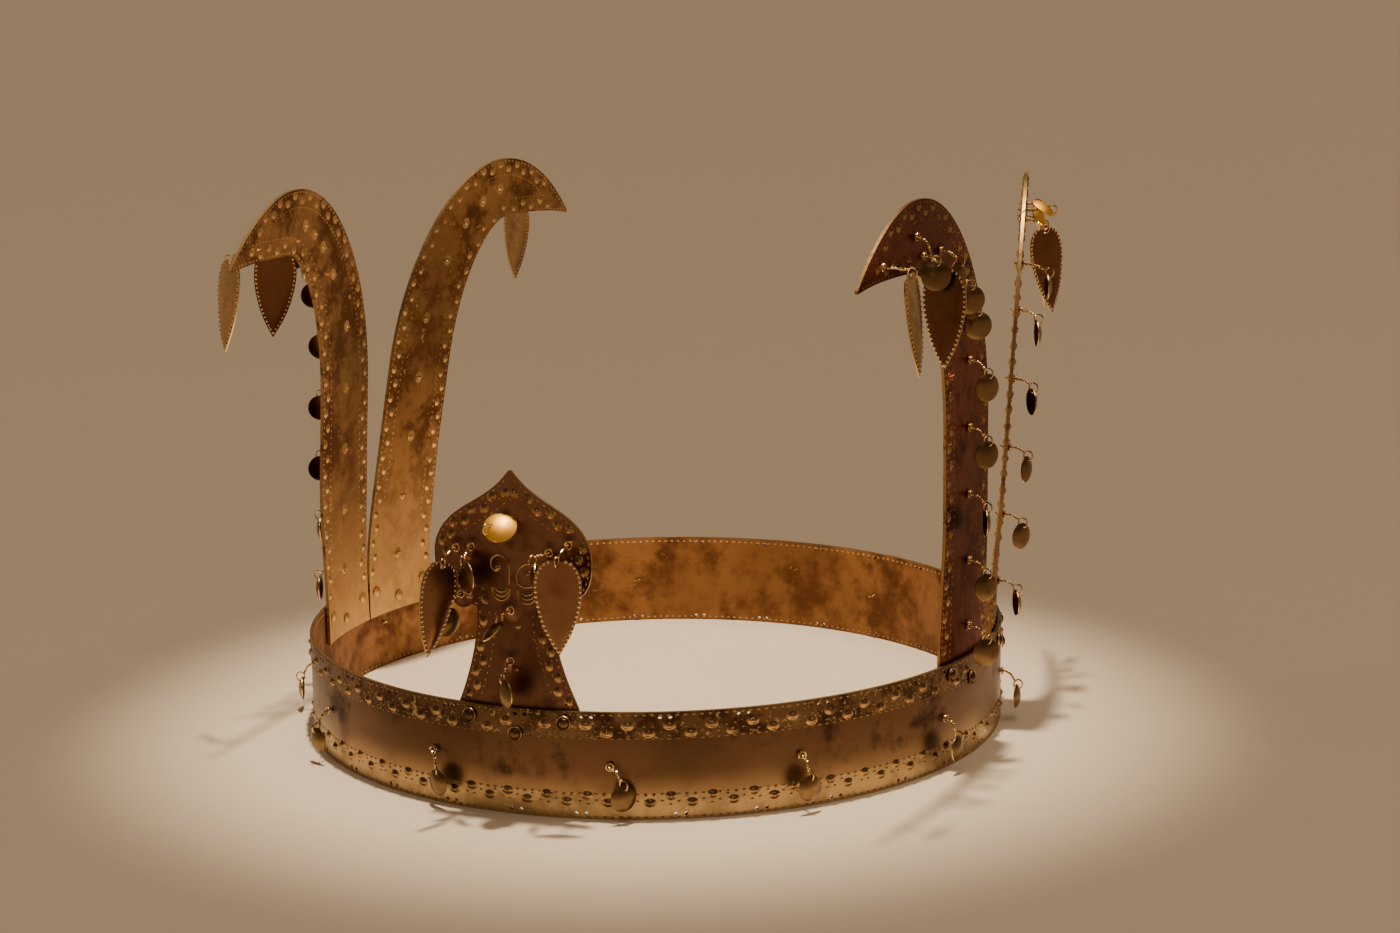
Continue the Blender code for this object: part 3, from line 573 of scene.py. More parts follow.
def bend(run, angle):
    """(sideways, along, turn) of a line that bends just above the band's top edge."""
    if run <= BAND_HEIGHT or abs(angle) < 1e-6:
        return 0.0, run, 0.0
    part = min(run - BAND_HEIGHT, BEND_RUN)
    turn = angle * part / BEND_RUN
    rest = run - BAND_HEIGHT - part
    radius = BEND_RUN / angle
    side = radius * (1 - math.cos(turn)) + rest * math.sin(turn)
    return side, BAND_HEIGHT + radius * math.sin(turn) + rest * math.cos(turn), turn


def slab(columns, rows, place):
    """A sheet of columns by rows quads; place(column, row, on_inner) gives every point.

    Its material indexes are 0 on the outer face, 1 on the inner one and 2 on the cut edge.
    """
    shape = bmesh.new()
    bmesh.ops.create_grid(shape, x_segments=columns, y_segments=rows, size=1.0)
    made = bmesh.ops.extrude_face_region(shape, geom=shape.faces[:])["geom"]
    inner = {item for item in made if isinstance(item, bmesh.types.BMVert)}
    for face in shape.faces:
        inside = sum(vert in inner for vert in face.verts)
        if inside == len(face.verts):
            face.material_index = 1
        elif inside:
            face.material_index = 2
    for vert in shape.verts:
        column = round((vert.co.x + 1) * columns / 2)
        row = round((vert.co.y + 1) * rows / 2)
        vert.co = place(column, row, vert in inner)
    return shape


class Plate:
    """A sheet behind the band: its own flat coordinates in, places in the frame out."""

    def __init__(self, angle, toward=1, lean=0.0, sway=0.0, twist=0.0):
        turn = math.radians(angle - 90)
        self.outward = Vector((math.cos(turn), math.sin(turn), 0))
        self.along = Vector((-math.sin(turn), math.cos(turn), 0))
        self.toward = toward
        self.lean = math.radians(lean)
        self.sway = math.radians(sway)
        self.twist = math.radians(twist) * toward

    def at(self, across, height, out=0.0):
        drift, height, _ = bend(height, self.sway)
        side = self.toward * (across + drift)
        flat = min(max((FLAT_LEVEL - height) / (FLAT_LEVEL - BAND_HEIGHT), 0.0), 1.0)
        held = flat * flat * (3 - 2 * flat)
        curve = held / FACE_RADIUS
        if curve > 1e-6:
            run = (1 / curve + out) * math.sin(curve * side)
            off = (1 / curve + out) * math.cos(curve * side) - 1 / curve
        else:
            run, off = side, out
        swing = self.twist * (1 - held)
        run, off = (
            run * math.cos(swing) - off * math.sin(swing),
            run * math.sin(swing) + off * math.cos(swing),
        )
        shift, level, turn = bend(height, self.lean)
        normal = self.outward * math.cos(turn) - Vector((0, 0, math.sin(turn)))
        base = CENTRE + self.outward * (FACE_RADIUS + shift) + Vector((0, 0, level))
        return base + self.along * run + normal * off

    def normal(self, across, height):
        return (self.at(across, height, 0.001) - self.at(across, height)).normalized()

    def cut(self, heap, rows, columns=8):
        """The sheet between pairs of edge points."""

        def place(column, row, on_inner):
            left, right = rows[row]
            share = column / columns
            across = left[0] + (right[0] - left[0]) * share
            height = left[1] + (right[1] - left[1]) * share
            return self.at(across, height, -PLATE_SHEET * on_inner)

        heap.take(slab(columns, len(rows) - 1, place), (OUTER, INNER, CUT_EDGE))

    def raise_boss(self, heap, place, heading, sizes, tone, sides=8, rings=3, inner=0.0):
        """A boss at flat coordinates; inner is the share of its height on the back."""
        across, height = place
        ahead = self.at(across + heading[0] * 1e-4, height + heading[1] * 1e-4)
        middle = self.at(across, height)
        normal = self.normal(across, height)
        heap.boss(middle, normal, ahead - middle, sizes, tone, sides, rings)
        if inner:
            back = self.at(across, height, -PLATE_SHEET)
            sizes = (sizes[0], sizes[1], sizes[2] * inner)
            heap.boss(back, -normal, ahead - middle, sizes, INNER_RAISED, sides, rings)

    def border(self, heap, edge, inward, pitch, width_at):
        """Punched lines and bosses inside one edge: edge points, and the side its metal lies.

        Where the sheet is narrower the rows would meet, so only the outermost line goes on.
        """
        edge = np.array(edge)
        run = np.concatenate(([0], np.cumsum(np.linalg.norm(np.diff(edge, axis=0), axis=1))))
        slope = np.gradient(edge, axis=0)
        slope /= np.linalg.norm(slope, axis=1)[:, None]
        length = run[-1] - BORDER_START

        def punch(distance, offset, sizes, tone, sides, rings, inner=0.0):
            place = np.array([np.interp(distance, run, edge[:, k]) for k in (0, 1)])
            way = np.array([np.interp(distance, run, slope[:, k]) for k in (0, 1)])
            way /= np.linalg.norm(way)
            place = place + inward * offset * np.array((way[1], -way[0]))
            self.raise_boss(heap, place, way, sizes, tone, sides, rings, inner)

        for step in range(int(length / DASH_PITCH)):
            distance = BORDER_START + step * DASH_PITCH
            width = width_at(distance / run[-1])
            if width >= TOO_NARROW:
                punch(distance, OUTER_LINE, EDGE_DASH, RAISED, 6, 2, 0.8)
            if width >= BORDERS_MEET:
                sway = PLATE_SWAY * math.sin(math.pi * distance / pitch)
                punch(distance, WAVE_LINE - sway, PLATE_DASH, RAISED, 6, 2)
                punch(distance, INNER_LINE, PLATE_DASH, RAISED, 6, 2, 0.8)
        for step in range(int(length / pitch)):
            distance = BORDER_START + (step + 0.5) * pitch
            if width_at(distance / run[-1]) >= BORDERS_MEET:
                offset = BOSS_LINE + BOSS_ZIGZAG * (step % 2)
                punch(distance, offset, PLATE_BOSS, BOSS, 10, 3, 0.9)


def crook_edges(share, extra):
    """The edge points of a crook's head at a share of its length from the stem to the beak."""
    back = share / BACK_SHARE
    if back < 1:
        turn = math.radians(90) * back
        outer_u = CROOK_TOP_REACH - (CROOK_TOP_REACH + HALF_STEM) * math.cos(turn)
        outer_v = BACK_CURVE_LEVEL + (CROOK_TOP - BACK_CURVE_LEVEL) * math.sin(turn)
    else:
        run = (share - BACK_SHARE) / (1 - BACK_SHARE)
        outer_u = CROOK_TOP_REACH + (BEAK_REACH - CROOK_TOP_REACH) * run
        outer_v = CROOK_TOP - (CROOK_TOP - BEAK_TIP_LEVEL - PLATE_SHEET) * run * run
    throat = share / THROAT_SHARE
    if throat < 1:
        turn = math.radians(90) * throat
        inner_u = UNDER_BEAK_REACH - (UNDER_BEAK_REACH - HALF_STEM) * math.cos(turn)
        rise = UNDER_BEAK_LEVEL - THROAT_CURVE_LEVEL
        inner_v = THROAT_CURVE_LEVEL + rise * math.sin(turn)
    else:
        run = (share - THROAT_SHARE) / (1 - THROAT_SHARE)
        inner_u = UNDER_BEAK_REACH + (BEAK_REACH - UNDER_BEAK_REACH) * run
        inner_v = UNDER_BEAK_LEVEL + (BEAK_TIP_LEVEL - UNDER_BEAK_LEVEL) * run**3
    return (outer_u, outer_v + extra), (inner_u, inner_v + extra)


def crook_middle(share, extra):
    """The middle of a crook's head at a share of its length."""
    outer, inner = crook_edges(share, extra)
    return (outer[0] + inner[0]) / 2, (outer[1] + inner[1]) / 2


def under_beak(reach, extra):
    """A place just above the beak's lower edge, at a reach from the stem's middle."""
    run = max(0.0, (reach - UNDER_BEAK_REACH) / (BEAK_REACH - UNDER_BEAK_REACH))
    drop = (UNDER_BEAK_LEVEL - BEAK_TIP_LEVEL) * run**3
    return reach, UNDER_BEAK_LEVEL - drop + LEAF_EDGE + extra


# Each crook's name; the way it curls, with its lean, sway and twist in degrees; its extra
# height; the first level, pitch, wire and turns of the spangles up its stem; those on its head
# by share of its length, pose, wire and own number where they are loose; and its leaves by
# reach along the beak, pose and wire. A wire has a reach and a droop, and a pose is a turn, a
# tilt and a roll in degrees.
USUAL = (0.0046, 0.0016)
CROOKS = (
    (
        "left_front", (1, -3.0, -1.1, 4.5), 0.0,
        (0.0333, 0.0166, (0.0064, 0.0016), (15, 20, -50, -60, -70)),
        (
            (0.30, (-58, 0, 0), USUAL, 0), (0.40, (20, 0, 0), USUAL, 0),
            (0.47, (-35, 0, 0), USUAL, 1), (0.54, (80, 0, 0), USUAL, 2),
        ),
        ((0.0275, (-58, 0, 5), (0.0048, 0.0016)), (0.0475, (58, 7, 0), (0.0068, 0.0024))),
    ),
    (
        "left_back", (-1, -7.0, 6.6, 0.0), 0.0038,
        (0.0318, 0.0168, USUAL, (-15, 48, 10, -15, 48)),
        (
            (0.26, (10, 0, 0), USUAL, 0), (0.38, (-15, 0, 0), USUAL, 0),
            (0.48, (48, 0, 0), USUAL, 1), (0.58, (10, 0, 0), USUAL, 2),
        ),
        ((0.0455, (-5, 0, 5), (0.0068, 0.0004)),),
    ),
    (
        "right_front", (-1, 0.0, 0.0, 1.0), 0.0,
        (0.0325, 0.0163, (0.0046, 0.0024), (-45, -28, 32, -30, -30)),
        (
            (0.28, (-60, 0, 0), USUAL, 0), (0.36, (-60, 0, 0), USUAL, 0),
            (0.46, (-10, 0, 0), USUAL, 1), (0.65, (-62, 0, 0), (0.0046, 0.0046), 2),
        ),
        ((0.0272, (-92, 0, 0), (0.0048, 0.0024)), (0.0490, (7, 5, 0), (0.0068, 0.0004))),
    ),
    (
        "right_back", (1, 3.8, 0.0, 0.0), 0.0,
        (0.0354, 0.0175, USUAL, (14, -39, -21, 21, 9)),
        (
            (0.32, (8, 0, 0), (0.0064, 0.0016), 0),
            (0.76, (-21, 20, 0), (0.0026, -0.0008), 1),
            (0.54, (-20, 55, 180), (0.0064, -0.0008), 2),
        ),
        ((0.0338, (-50, 0, 8), (0.0048, 0.0016)), (0.0480, (-20, 0, 6), (0.0048, 0.0016))),
    ),
)
plates = {}
hangers = []
for name, bends, extra, stem, rounds, leaves in CROOKS:
    plate = plates[name] = Plate(CROOK_ANGLES[name], *bends)
    rows = []
    high = min(BACK_CURVE_LEVEL, THROAT_CURVE_LEVEL) + extra
    for level in [FOOT_LEVEL] + list(np.linspace(BAND_HEIGHT, high, 25)[:-1]):
        share = min(max((level - FOOT_LEVEL) / (FLAT_LEVEL - FOOT_LEVEL), 0), 1)
        half = HALF_FOOT + (HALF_STEM - HALF_FOOT) * share
        rows.append(((-half, level), (half, level)))
    rows += [crook_edges(step / 48, extra) for step in range(49)]
    heap = Heap()
    plate.cut(heap, rows)
    widths = [math.dist(left, right) for left, right in rows]
    for side, inward in ((0, 1), (1, -1)):
        edge = [row[side] for row in rows[1:]]
        lengths = np.concatenate(
            ([0], np.cumsum([math.dist(a, b) for a, b in zip(edge, edge[1:])]))
        )

        def width_at(share, lengths=lengths):
            return np.interp(share * lengths[-1], lengths, widths[1:])

        plate.border(heap, edge, inward, CROOK_PITCH, width_at)
    first, pitch, wire, turns = stem
    hung_here = []
    for number, turn in enumerate(turns):
        hung = ("disc", (turn, 0, 0), CROOK_SPANGLE_RADIUS, *wire, 0)
        hung_here.append(("stem_" + name, (0.0, first + pitch * number), hung, ""))
    for share, pose, wire, own in rounds:
        node = f"spangle_{name}_{own}" if own else ""
        hung = ("disc", pose, CROOK_SPANGLE_RADIUS, *wire, 0)
        hung_here.append((node or "stem_" + name, crook_middle(share, extra), hung, node))
    for _, place, _, _ in hung_here:
        plate.raise_boss(heap, place, (0, 1), ROOT_BOSS, OUTER, 14, 4, 0.6)
    for number, (reach, pose, wire) in enumerate(leaves):
        node = f"pendant_{name}_{number + 1}"
        hung = ("leaf", pose, CROOK_LEAF_LENGTH, *wire, 0)
        hung_here.append((node, under_beak(reach, extra), hung, node))
    hangers += [(owner, plate, place, hung, node) for owner, place, hung, node in hung_here]
    heap.build(
        "upright_" + name + "_plate",
        (PLATE_OUTER, PLATE_INNER, GOLD_RAISED, GOLD_INNER, GOLD_EDGE, BOSS_GILT_AND_GLINT),
        "upright_gilt_bronze",
        ["upright_" + name],
    )


# Front ornament: a flared neck under a lobed and pointed head, riveted behind the band. It
# has the same punched border, and a pair of curled ridges above small nested arcs on its neck.
HALF_ORNAMENT_FOOT = 0.0150
HALF_NECK = 0.0092
NECK_LEVEL = 0.0470
HALF_HEAD = 0.0193
HEAD_LEVEL = 0.0605
SHOULDER_RISE = 0.0135
POINT_RISE = 0.0065
LOBE_DROP = 0.0133
ORNAMENT_PITCH = 0.0030
ORNAMENT_ROOT = (0.0034, 0.0030, 0.0007)
SMALL_ROOT = (0.0008, 0.0008, 0.0006)
CURL_RADIUS = 0.00024
ARC_RADIUS = 0.00020
# Painted shade: the ornament's dark outside colour stands for shade on the face turned from the lamps;
# its blotches are real stains.
FRONT_OUTER = metal(
    "gilt_front_outer_painted_shade", (0.11, 0.053, 0.034), (0.235, 0.115, 0.070), (0.50, 0.31, 0.15),
    (0.30, 0.16), 0.30, 70.0, 0.22, 0.15,
)
front = Plate(0.0)
rows = [((-HALF_ORNAMENT_FOOT, FOOT_LEVEL), (HALF_ORNAMENT_FOOT, FOOT_LEVEL))]
for share in np.linspace(0, 1, 19):
    half = HALF_NECK + (HALF_ORNAMENT_FOOT - HALF_NECK) * (1 - share) ** 1.7
    level = BAND_HEIGHT + (NECK_LEVEL - BAND_HEIGHT) * share
    rows.append(((-half, level), (half, level)))
for drop in (0.985, 0.96, 0.92, 0.86, 0.78, 0.7, 0.58, 0.45, 0.3, 0.15, 0.0):
    half = max(HALF_NECK, HALF_HEAD * math.sqrt(1 - drop**3))
    level = HEAD_LEVEL - LOBE_DROP * drop
    rows.append(((-half, level), (half, level)))
for share in (
    0.995, 0.98, 0.96, 0.92, 0.87, 0.8, 0.72, 0.63, 0.54, 0.45, 0.36, 0.27, 0.19, 0.12, 0.06,
    0.015,
):
    dome = SHOULDER_RISE * math.sqrt(1 - share * share)
    level = HEAD_LEVEL + dome + POINT_RISE * (1 - share) ** 4
    rows.append(((-HALF_HEAD * share, level), (HALF_HEAD * share, level)))
heap = Heap()
front.cut(heap, rows, 12)
for side, inward in ((0, 1), (1, -1)):
    edge = [row[side] for row in rows[1:]]
    front.border(heap, edge, inward, ORNAMENT_PITCH, lambda share: 2 * HALF_NECK)


def smooth_path(points):
    """A rounded line through points, six steps from each to the next."""
    points = [Vector(point) for point in points]
    line = []
    for index in range(len(points) - 1):
        a = points[max(index - 1, 0)]
        b, c = points[index], points[index + 1]
        d = points[min(index + 2, len(points) - 1)]
        for step in range(6):
            t = step / 6
            line.append(
                0.5 * (2 * b + (c - a) * t + (2 * a - 5 * b + 4 * c - d) * t * t
                       + (3 * b - a - 3 * c + d) * t**3)
            )
    line.append(points[-1])
    return [tuple(point) for point in line]


def ridge(flat_path, radius):
    """A raised line on the ornament's outer face, along flat coordinates in millimetres."""
    path = [front.at(across * 0.001, height * 0.001) for across, height in smooth_path(flat_path)]
    heap.tube(path, radius, RAISED)


CURLS = (
    (
        (-0.9, 53.9), (-0.7, 57.6), (-1.4, 59.8), (-3.2, 60.7), (-4.9, 59.8), (-5.2, 58.1),
        (-4.2, 57.0), (-3.1, 57.6), (-3.4, 58.7),
    ),
    (
        (5.4, 59.0), (3.4, 58.9), (1.8, 57.8), (1.0, 55.9), (1.5, 54.2), (3.2, 53.5), (5.1, 54.0),
        (6.0, 55.6), (5.4, 57.3), (4.1, 57.3),
    ),
)
for curl in CURLS:
    ridge(curl, CURL_RADIUS)
for left, right, high in ((-5.3, -0.6, 53.0), (1.0, 5.9, 52.6)):
    middle = (left + right) / 2
    half = (right - left) / 2
    for wide, drop in ((1.0, 2.9), (0.84, 1.9), (0.60, 0.9)):
        smile = [
            (middle + half * wide * step / 4, high - drop * math.sqrt(1 - (step / 4) ** 2))
            for step in (-4, -3.4, -2, 0, 2, 3.4, 4)
        ]
        ridge(smile, ARC_RADIUS)
for across, level in ((-0.00376, 0.0575), (0.0035, 0.0568), (0.00097, 0.04435), (0.00012, 0.0342)):
    front.raise_boss(heap, (across, level), (0, 1), SMALL_ROOT, RAISED)
ridge(((4.6, 41.8), (5.3, 40.9), (6.2, 40.1), (7.0, 39.9)), 0.8 * ARC_RADIUS)
# Where each one hangs, as shares of the head's half width and of its rise, or None for the one
# on the neck; then what hangs: its pose, size, wire's reach and droop, and the wire's swing.
ORNAMENT_HUNG = (
    ((-0.06, 0.62), ("disc", (15, 46, 125), 0.0039, 0.0050, 0.0007, -28)),
    ((0.49, 0.11), ("disc", (-69, 0, 0), 0.0034, 0.0046, 0.0004, -28)),
    ((-0.50, 0.13), ("disc", (-39, 0, 0), 0.0039, 0.0046, 0.0016, 0)),
    ((-0.66, -0.70), ("disc", (60, 0, 0), 0.0034, 0.0046, 0.0016, -15)),
    ((-0.02, -0.92), ("disc", (-62, 50, 0), 0.0031, 0.0046, 0.0004, -10)),
    (None, ("disc", (-39, 0, 0), 0.0034, 0.0046, 0.0024, 0)),
    ((-0.70, 0.10), ("leaf", (70, 0, -16), 0.0214, 0.0068, 0.0016, 0)),
    ((0.74, 0.26), ("leaf", (14, 0, 0), 0.0214, 0.0068, 0.0016, 0)),
)
for number, (shares, hung) in enumerate(ORNAMENT_HUNG):
    if shares:
        place = (shares[0] * HALF_HEAD, HEAD_LEVEL + shares[1] * SHOULDER_RISE)
    else:
        place = (-0.09 * HALF_NECK, BAND_HEIGHT + 0.50 * (NECK_LEVEL - BAND_HEIGHT))
    front.raise_boss(heap, place, (0, 1), ORNAMENT_ROOT, OUTER, 16, 6, 0.6)
    node = f"spangle_front_{number + 1}" if hung[0] == "disc" else f"pendant_front_{number - 5}"
    hangers.append((node, front, place, hung, node))
heap.build(
    "front_ornament_plate",
    (FRONT_OUTER, PLATE_INNER, GOLD_RAISED, GOLD_INNER, GOLD_EDGE, BOSS_GILT_AND_GLINT),
    "upright_gilt_bronze",
    ["front_ornament"],
)


# Spangles and leaves: thin domed gilt discs and beaded leaves, each on a twisted pair of fine
# wires that comes through the sheet, with its tail bent along the back and a ring at its end.
SKIN, WIRE, BEAD = range(3)
STRAND = 0.00018
STRAND_PITCH = 0.0015
DISC_HALF_SHEET = 0.00013
LEAF_HALF_SHEET = 0.00016
LEAF_WIDTH = 0.0108
LEAF_SHARES = (0.0, 0.025, 0.07, 0.13, 0.2, 0.28, 0.38, 0.5, 0.62, 0.73, 0.83, 0.91, 0.97, 1.0)
LEAF_WIDTHS = (0.34, 0.58, 0.77, 0.90, 0.975, 1.0, 0.975, 0.89, 0.76, 0.60, 0.41, 0.23, 0.08, 0.01)
LEAF_INSET = 0.0009
BEAD_PITCH = 0.00112
BACK_BEAD = (0.00036, 0.00036, 0.00020)
SPANGLE_DEGREES = 28.3
SPANGLE_LEVEL = 0.0127
BAND_SPANGLE_RADIUS = 0.0031
WIRE_RISE = 0.0007
RING_DROP = 0.0006
RING_REACH = 0.0011
RING_HEIGHT = 0.0012
RING_WIRE = 0.00020
HOLD_DROP = 0.0014
DISC_INSET = 0.0007
KNOT_WIRE = 0.00019
KNOT_RADIUS = 0.00085
KNOT_PITCH = 0.00045
GOLD_WIRE = metal(
    "gilt_wire", (0.56, 0.35, 0.15), (0.92, 0.66, 0.32), (1.0, 0.84, 0.52),
    (0.12, 0.30), 0.20, 300.0, 0.10, 0.05,
)
GOLD_BEAD = metal(
    "gilt_bead", (0.50, 0.32, 0.14), (0.86, 0.62, 0.31), (1.0, 0.82, 0.50),
    (0.16, 0.22), 0.22, 300.0, 0.10, 0.10,
)
OLIVE_DISC = metal(
    "gilt_spangle", (0.14, 0.080, 0.038), (0.25, 0.155, 0.072), (0.46, 0.31, 0.14),
    (0.16, 0.04), 0.31, 120.0, 0.20, 0.10,
)
# Painted reflection: the pale cream gilt of the brightest spangles stands for the lamp above reflected
# in them.
LAMP_REFLECTION_DISC = metal(
    "gilt_spangle_painted_lamp_reflection", (0.66, 0.36, 0.065), (0.86, 0.465, 0.075), (0.93, 0.55, 0.12),
    (0.14, 0.10), 0.47, 120.0, 0.24, 0.08,
)
RED_LEAF = metal(
    "gilt_leaf", (0.20, 0.095, 0.048), (0.37, 0.190, 0.098), (0.56, 0.36, 0.17),
    (0.18, 0.04), 0.29, 90.0, 0.24, 0.08,
)
DARK_LEAF = metal(
    "gilt_dark_leaf", (0.11, 0.045, 0.022), (0.20, 0.092, 0.046), (0.44, 0.26, 0.12),
    (0.18, 0.04), 0.26, 90.0, 0.24, 0.08,
)
PALE_LEAF = metal(
    "gilt_pale_leaf", (0.28, 0.170, 0.085), (0.52, 0.345, 0.175), (0.72, 0.52, 0.27),
    (0.18, 0.04), 0.28, 90.0, 0.24, 0.08,
)


def twisted(heap, path):
    """Two strands wound round each other along a smooth path."""
    path = np.asarray(path, float)
    run = np.concatenate(([0], np.cumsum(np.linalg.norm(np.diff(path, axis=0), axis=1))))
    count = max(8, int(run[-1] / 0.00030))
    at = np.linspace(0, run[-1], count)
    line = np.stack([np.interp(at, run, path[:, k]) for k in range(3)], 1)
    way = np.gradient(line, axis=0)
    way /= np.linalg.norm(way, axis=1)[:, None]
    side = np.cross(way, (0.12, 0.31, 0.94))
    side /= np.linalg.norm(side, axis=1)[:, None]
    over = np.cross(way, side)
    turn = 2 * math.pi * at / STRAND_PITCH
    for phase in (0, math.pi):
        offset = side * np.cos(turn + phase)[:, None] + over * np.sin(turn + phase)[:, None]
        heap.tube(line + offset * STRAND * 0.95, STRAND, WIRE, 5)


def dish(heap, top, facing, hanging, radius):
    """A thin disc hanging from its top, domed toward its facing side."""
    bowl = [(0.0, radius * 0.16)]
    for ring in range(1, 7):
        share = math.sin(math.radians(90) * ring / 6)
        bowl.append((radius * share, radius * (0.32 * (1 - share**2.2) - 0.16)))
    profile = [(reach, rise + DISC_HALF_SHEET) for reach, rise in bowl]
    profile += [(reach, rise - DISC_HALF_SHEET) for reach, rise in bowl[::-1]]
    shape = spun(profile, 28)
    # The rim faces take the bright bead gilt, a painted glint along each disc's edge.
    for face in shape.faces:
        reaches = [vert.co.xy.length for vert in face.verts]
        face.material_index = min(reaches) > 0.999 * radius
    axes = Matrix((facing.cross(-hanging), -hanging, facing)).transposed()
    shape.transform(Matrix.Translation(top + hanging * radius) @ axes.to_4x4())
    heap.take(shape, (SKIN, BEAD))


def leaf(heap, top, facing, hanging, length):
    """A leaf hanging from its top: domed, notched above, pointed below and beaded round."""
    up = -hanging
    side = facing.cross(up)
    start = top + up * LEAF_INSET

    def at(share, across, depth=0.0):
        half = np.interp(share, LEAF_SHARES, LEAF_WIDTHS) * LEAF_WIDTH / 2
        notch = 0.0010 * (1 - abs(across)) ** 2 * (1 - share) ** 8
        crown = 0.0010 * (1 - across * across) * min(1.0, 3 * share + 0.1, 4 * (1 - share))
        down = length * share + notch
        return start - up * down + side * half * across + facing * (crown - 0.0004 + depth)

    def spot(column, row, on_inner):
        depth = -LEAF_HALF_SHEET if on_inner else LEAF_HALF_SHEET
        return at(LEAF_SHARES[row], column / 4 - 1, depth)

    # The cut edge takes the bright bead gilt, a painted glint along the leaf's rim.
    heap.take(slab(8, len(LEAF_SHARES) - 1, spot), (SKIN, SKIN, BEAD))
    shares = np.linspace(0.0, 1.0, 60)
    trace = [at(share, 1.0) for share in shares]
    run = np.cumsum([0] + [(b - a).length for a, b in zip(trace, trace[1:])])
    for distance in np.arange(0.0006, run[-1] - 0.0004, BEAD_PITCH):
        share = np.interp(distance, run, shares)
        half_width = np.interp(share, LEAF_SHARES, LEAF_WIDTHS) * LEAF_WIDTH / 2
        across = max(0.0, 1 - 0.00042 / max(half_width, 0.0005))
        size = 0.00038 + 0.00014 * share
        for hand in (-1, 1):
            place = at(share, hand * across, LEAF_HALF_SHEET)
            heap.boss(place, facing, up, (size, size, size * 0.9), BEAD, 7, 2)
            place = at(share, hand * across, -LEAF_HALF_SHEET)
            heap.boss(place, -facing, up, BACK_BEAD, BEAD, 6, 2)


def hang(heap, root, normal, hung, sheet):
    """A wire out of the sheet at root, and what hangs on its ring."""
    what, (turn, tilt, roll), size, reach, droop, swing = hung
    down = Vector((0, 0, -1))
    level = Vector((normal.x, normal.y, 0)).normalized()
    tail_side = level.cross(down)
    facing = Matrix.Rotation(math.radians(turn), 3, "Z") @ level
    tip = Matrix.Rotation(math.radians(tilt), 3, facing.cross(-down))
    facing = tip @ facing
    hanging = Matrix.Rotation(math.radians(roll), 3, facing) @ (tip @ down)
    level = Matrix.Rotation(math.radians(swing), 3, "Z") @ level
    start = root + normal * WIRE_RISE
    end = start + level * reach + down * droop
    hold = end + down * HOLD_DROP
    back = root - normal * (sheet + WIRE_RISE)
    path = smooth_path(
        [
            back + tail_side * 0.0016 + down * 0.0003,
            back + tail_side * 0.0008,
            back,
            root,
            start + normal * 0.0004,
            start + level * reach * 0.5 + down * droop * 0.28,
            end - level * 0.0008 - down * 0.0001,
        ]
    )
    twisted(heap, path)
    eye = end + down * RING_DROP
    ring = []
    for step in range(18):
        angle = 2 * math.pi * step / 18
        place = eye + level * RING_REACH * math.cos(angle)
        ring.append(place + down * RING_HEIGHT * math.sin(angle))
    heap.tube(ring, RING_WIRE, WIRE, closed=True)
    knot = []
    over = normal.cross(tail_side)
    for step in range(22):
        angle = 2 * math.pi * step / 14
        out = tail_side * math.cos(angle) + over * math.sin(angle)
        knot.append(root + normal * (0.0003 + KNOT_PITCH * step / 14) + out * KNOT_RADIUS)
    heap.tube(knot, KNOT_WIRE, WIRE)
    if what == "leaf":
        leaf(heap, hold, facing, hanging, size)
    else:
        dish(heap, hold - hanging * DISC_INSET, facing, hanging, size)


heaps = {}
for name, plate, place, hung, node in hangers:
    heap = heaps.setdefault(name, (Heap(), node))[0]
    hang(heap, plate.at(*place), plate.normal(*place), hung, PLATE_SHEET)
# The twelve on the band, from just right of the front toward the right and then the left: the
# turn of each one's disc and the swing of its wire, in degrees.
DISC_TURNS = (30, 12, 10, -8, 25, -45, 16, 40, -30, 5, 15, -12)
WIRE_SWINGS = (58, 4, -4, 10, -6, 8, 0, -12, 5, 0, 18, 48)
for number, (turn, swing) in enumerate(zip(DISC_TURNS, WIRE_SWINGS)):
    angle = SPANGLE_DEGREES * (number + 0.5 - (12 if number >= 6 else 0))
    node = f"spangle_band_{number + 1:02d}"
    heap = heaps.setdefault(node, (Heap(), node))[0]
    root = Vector(on_band(angle, SPANGLE_LEVEL))
    normal = Vector(band_directions(angle)[0])
    hung = ("disc", (turn, 0, 0), BAND_SPANGLE_RADIUS, 0.0040, 0.0030, swing)
    hang(heap, root, normal, hung, BAND_SHEET)
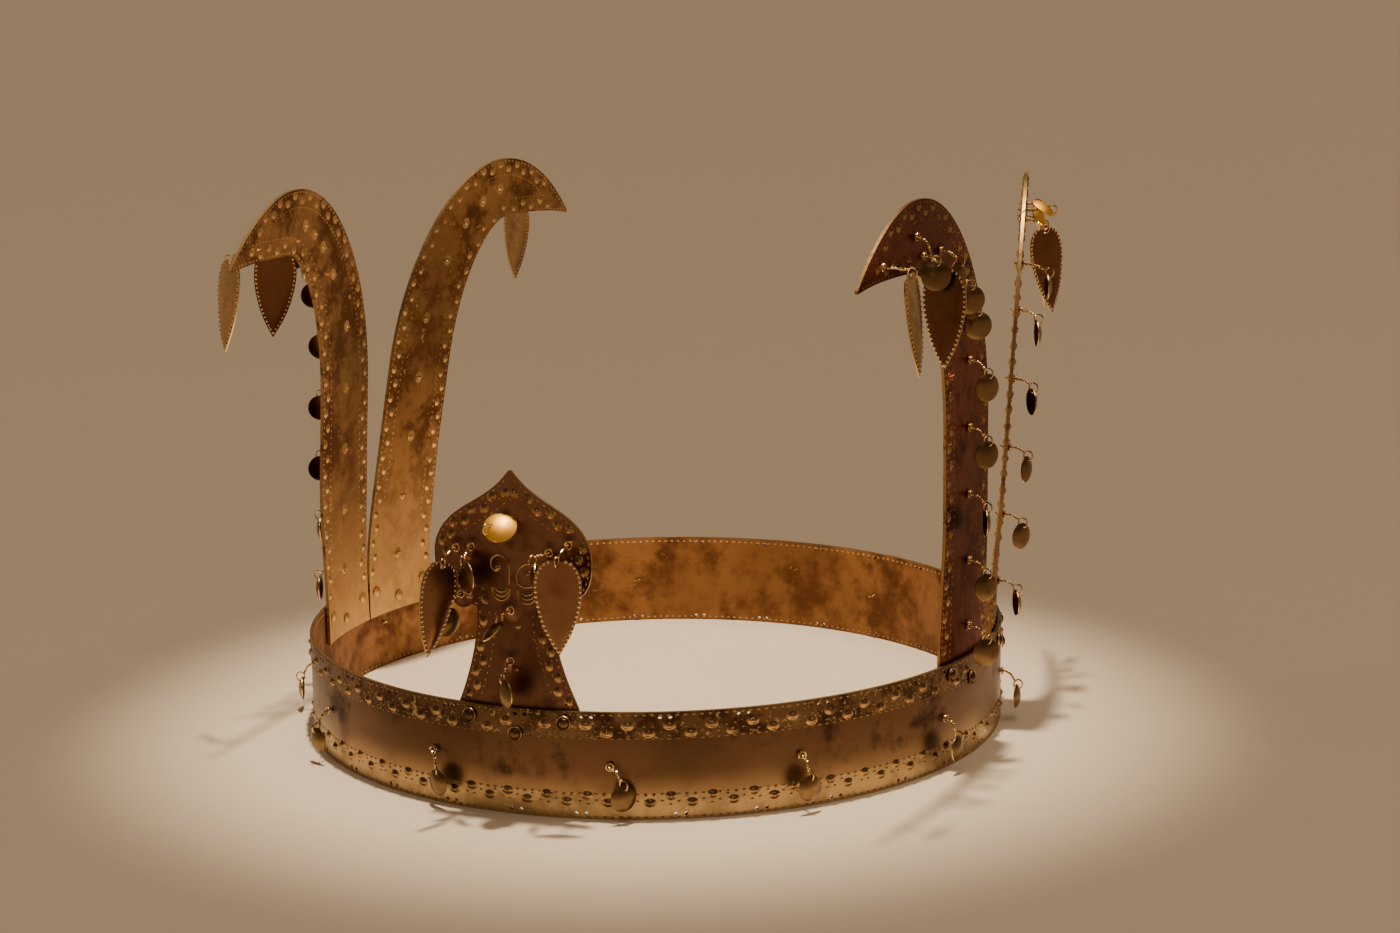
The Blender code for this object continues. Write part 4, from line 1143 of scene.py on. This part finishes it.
# The front ornament's top spangle and two on the right back crook carry the painted lamp reflection.
skins = {
    "spangle_front_1": LAMP_REFLECTION_DISC, "spangle_right_back_1": LAMP_REFLECTION_DISC,
    "spangle_right_back_2": LAMP_REFLECTION_DISC, "pendant_front_1": RED_LEAF, "pendant_front_2": RED_LEAF,
    "pendant_left_front_2": PALE_LEAF, "pendant_left_back_1": PALE_LEAF,
    "pendant_right_front_2": PALE_LEAF,
}
for name, (heap, node) in heaps.items():
    skin = skins.get(name, DARK_LEAF if "pendant" in name else OLIVE_DISC)
    nodes = [node] if node else []
    heap.build(name + "_hung", (skin, GOLD_WIRE, GOLD_BEAD), "spangle_gilt_bronze", nodes, 50.0)


# Rivets: three hold each foot to the band. Each has a round domed head in a turned ring
# outside, and a low hammered tail inside.
RIVET_PROFILE = (
    (0.0, 0.00236), (0.0006, 0.00230), (0.0010, 0.00208), (0.00124, 0.00181),
    (0.00132, 0.00158), (0.00142, 0.00154), (0.00150, 0.00178), (0.00162, 0.00184),
    (0.00174, 0.00174), (0.00180, 0.00146), (0.0008, 0.00140), (0.0008, -0.0009),
    (0.0013, -0.0009), (0.0015, -0.0011), (0.0011, -0.0014), (0.0, -0.0015),
)
RING_START = 0.00138
RIVET_MARGIN = 0.0034
groups = [(name, plate, HALF_FOOT) for name, plate in plates.items()]
groups.append(("front", front, HALF_ORNAMENT_FOOT))
for name, plate, half in groups:
    edge = half - RIVET_MARGIN
    for number, across in enumerate((-edge, 0.0, edge)):
        place = (across, RIVET_LEVELS[number])
        shape = spun(RIVET_PROFILE, 20)
        for face in shape.faces:
            middle = face.calc_center_median()
            if middle.z < 0:
                face.material_index = 2
            elif middle.xy.length > RING_START:
                face.material_index = 1
        turn = plate.normal(*place).to_track_quat("Z", "Y").to_matrix().to_4x4()
        shape.transform(Matrix.Translation(plate.at(*place)) @ turn)
        heap = Heap()
        heap.take(shape, range(3))
        node = f"rivet_{name}_{number + 1}"
        # The heads take the band's outside colour with its painted shade, the tails the plates' inside
        # colour with its painted light.
        heap.build(node + "_head", (BAND_OUTER, GOLD_EDGE, PLATE_INNER), "rivet_gilt_bronze", [node])
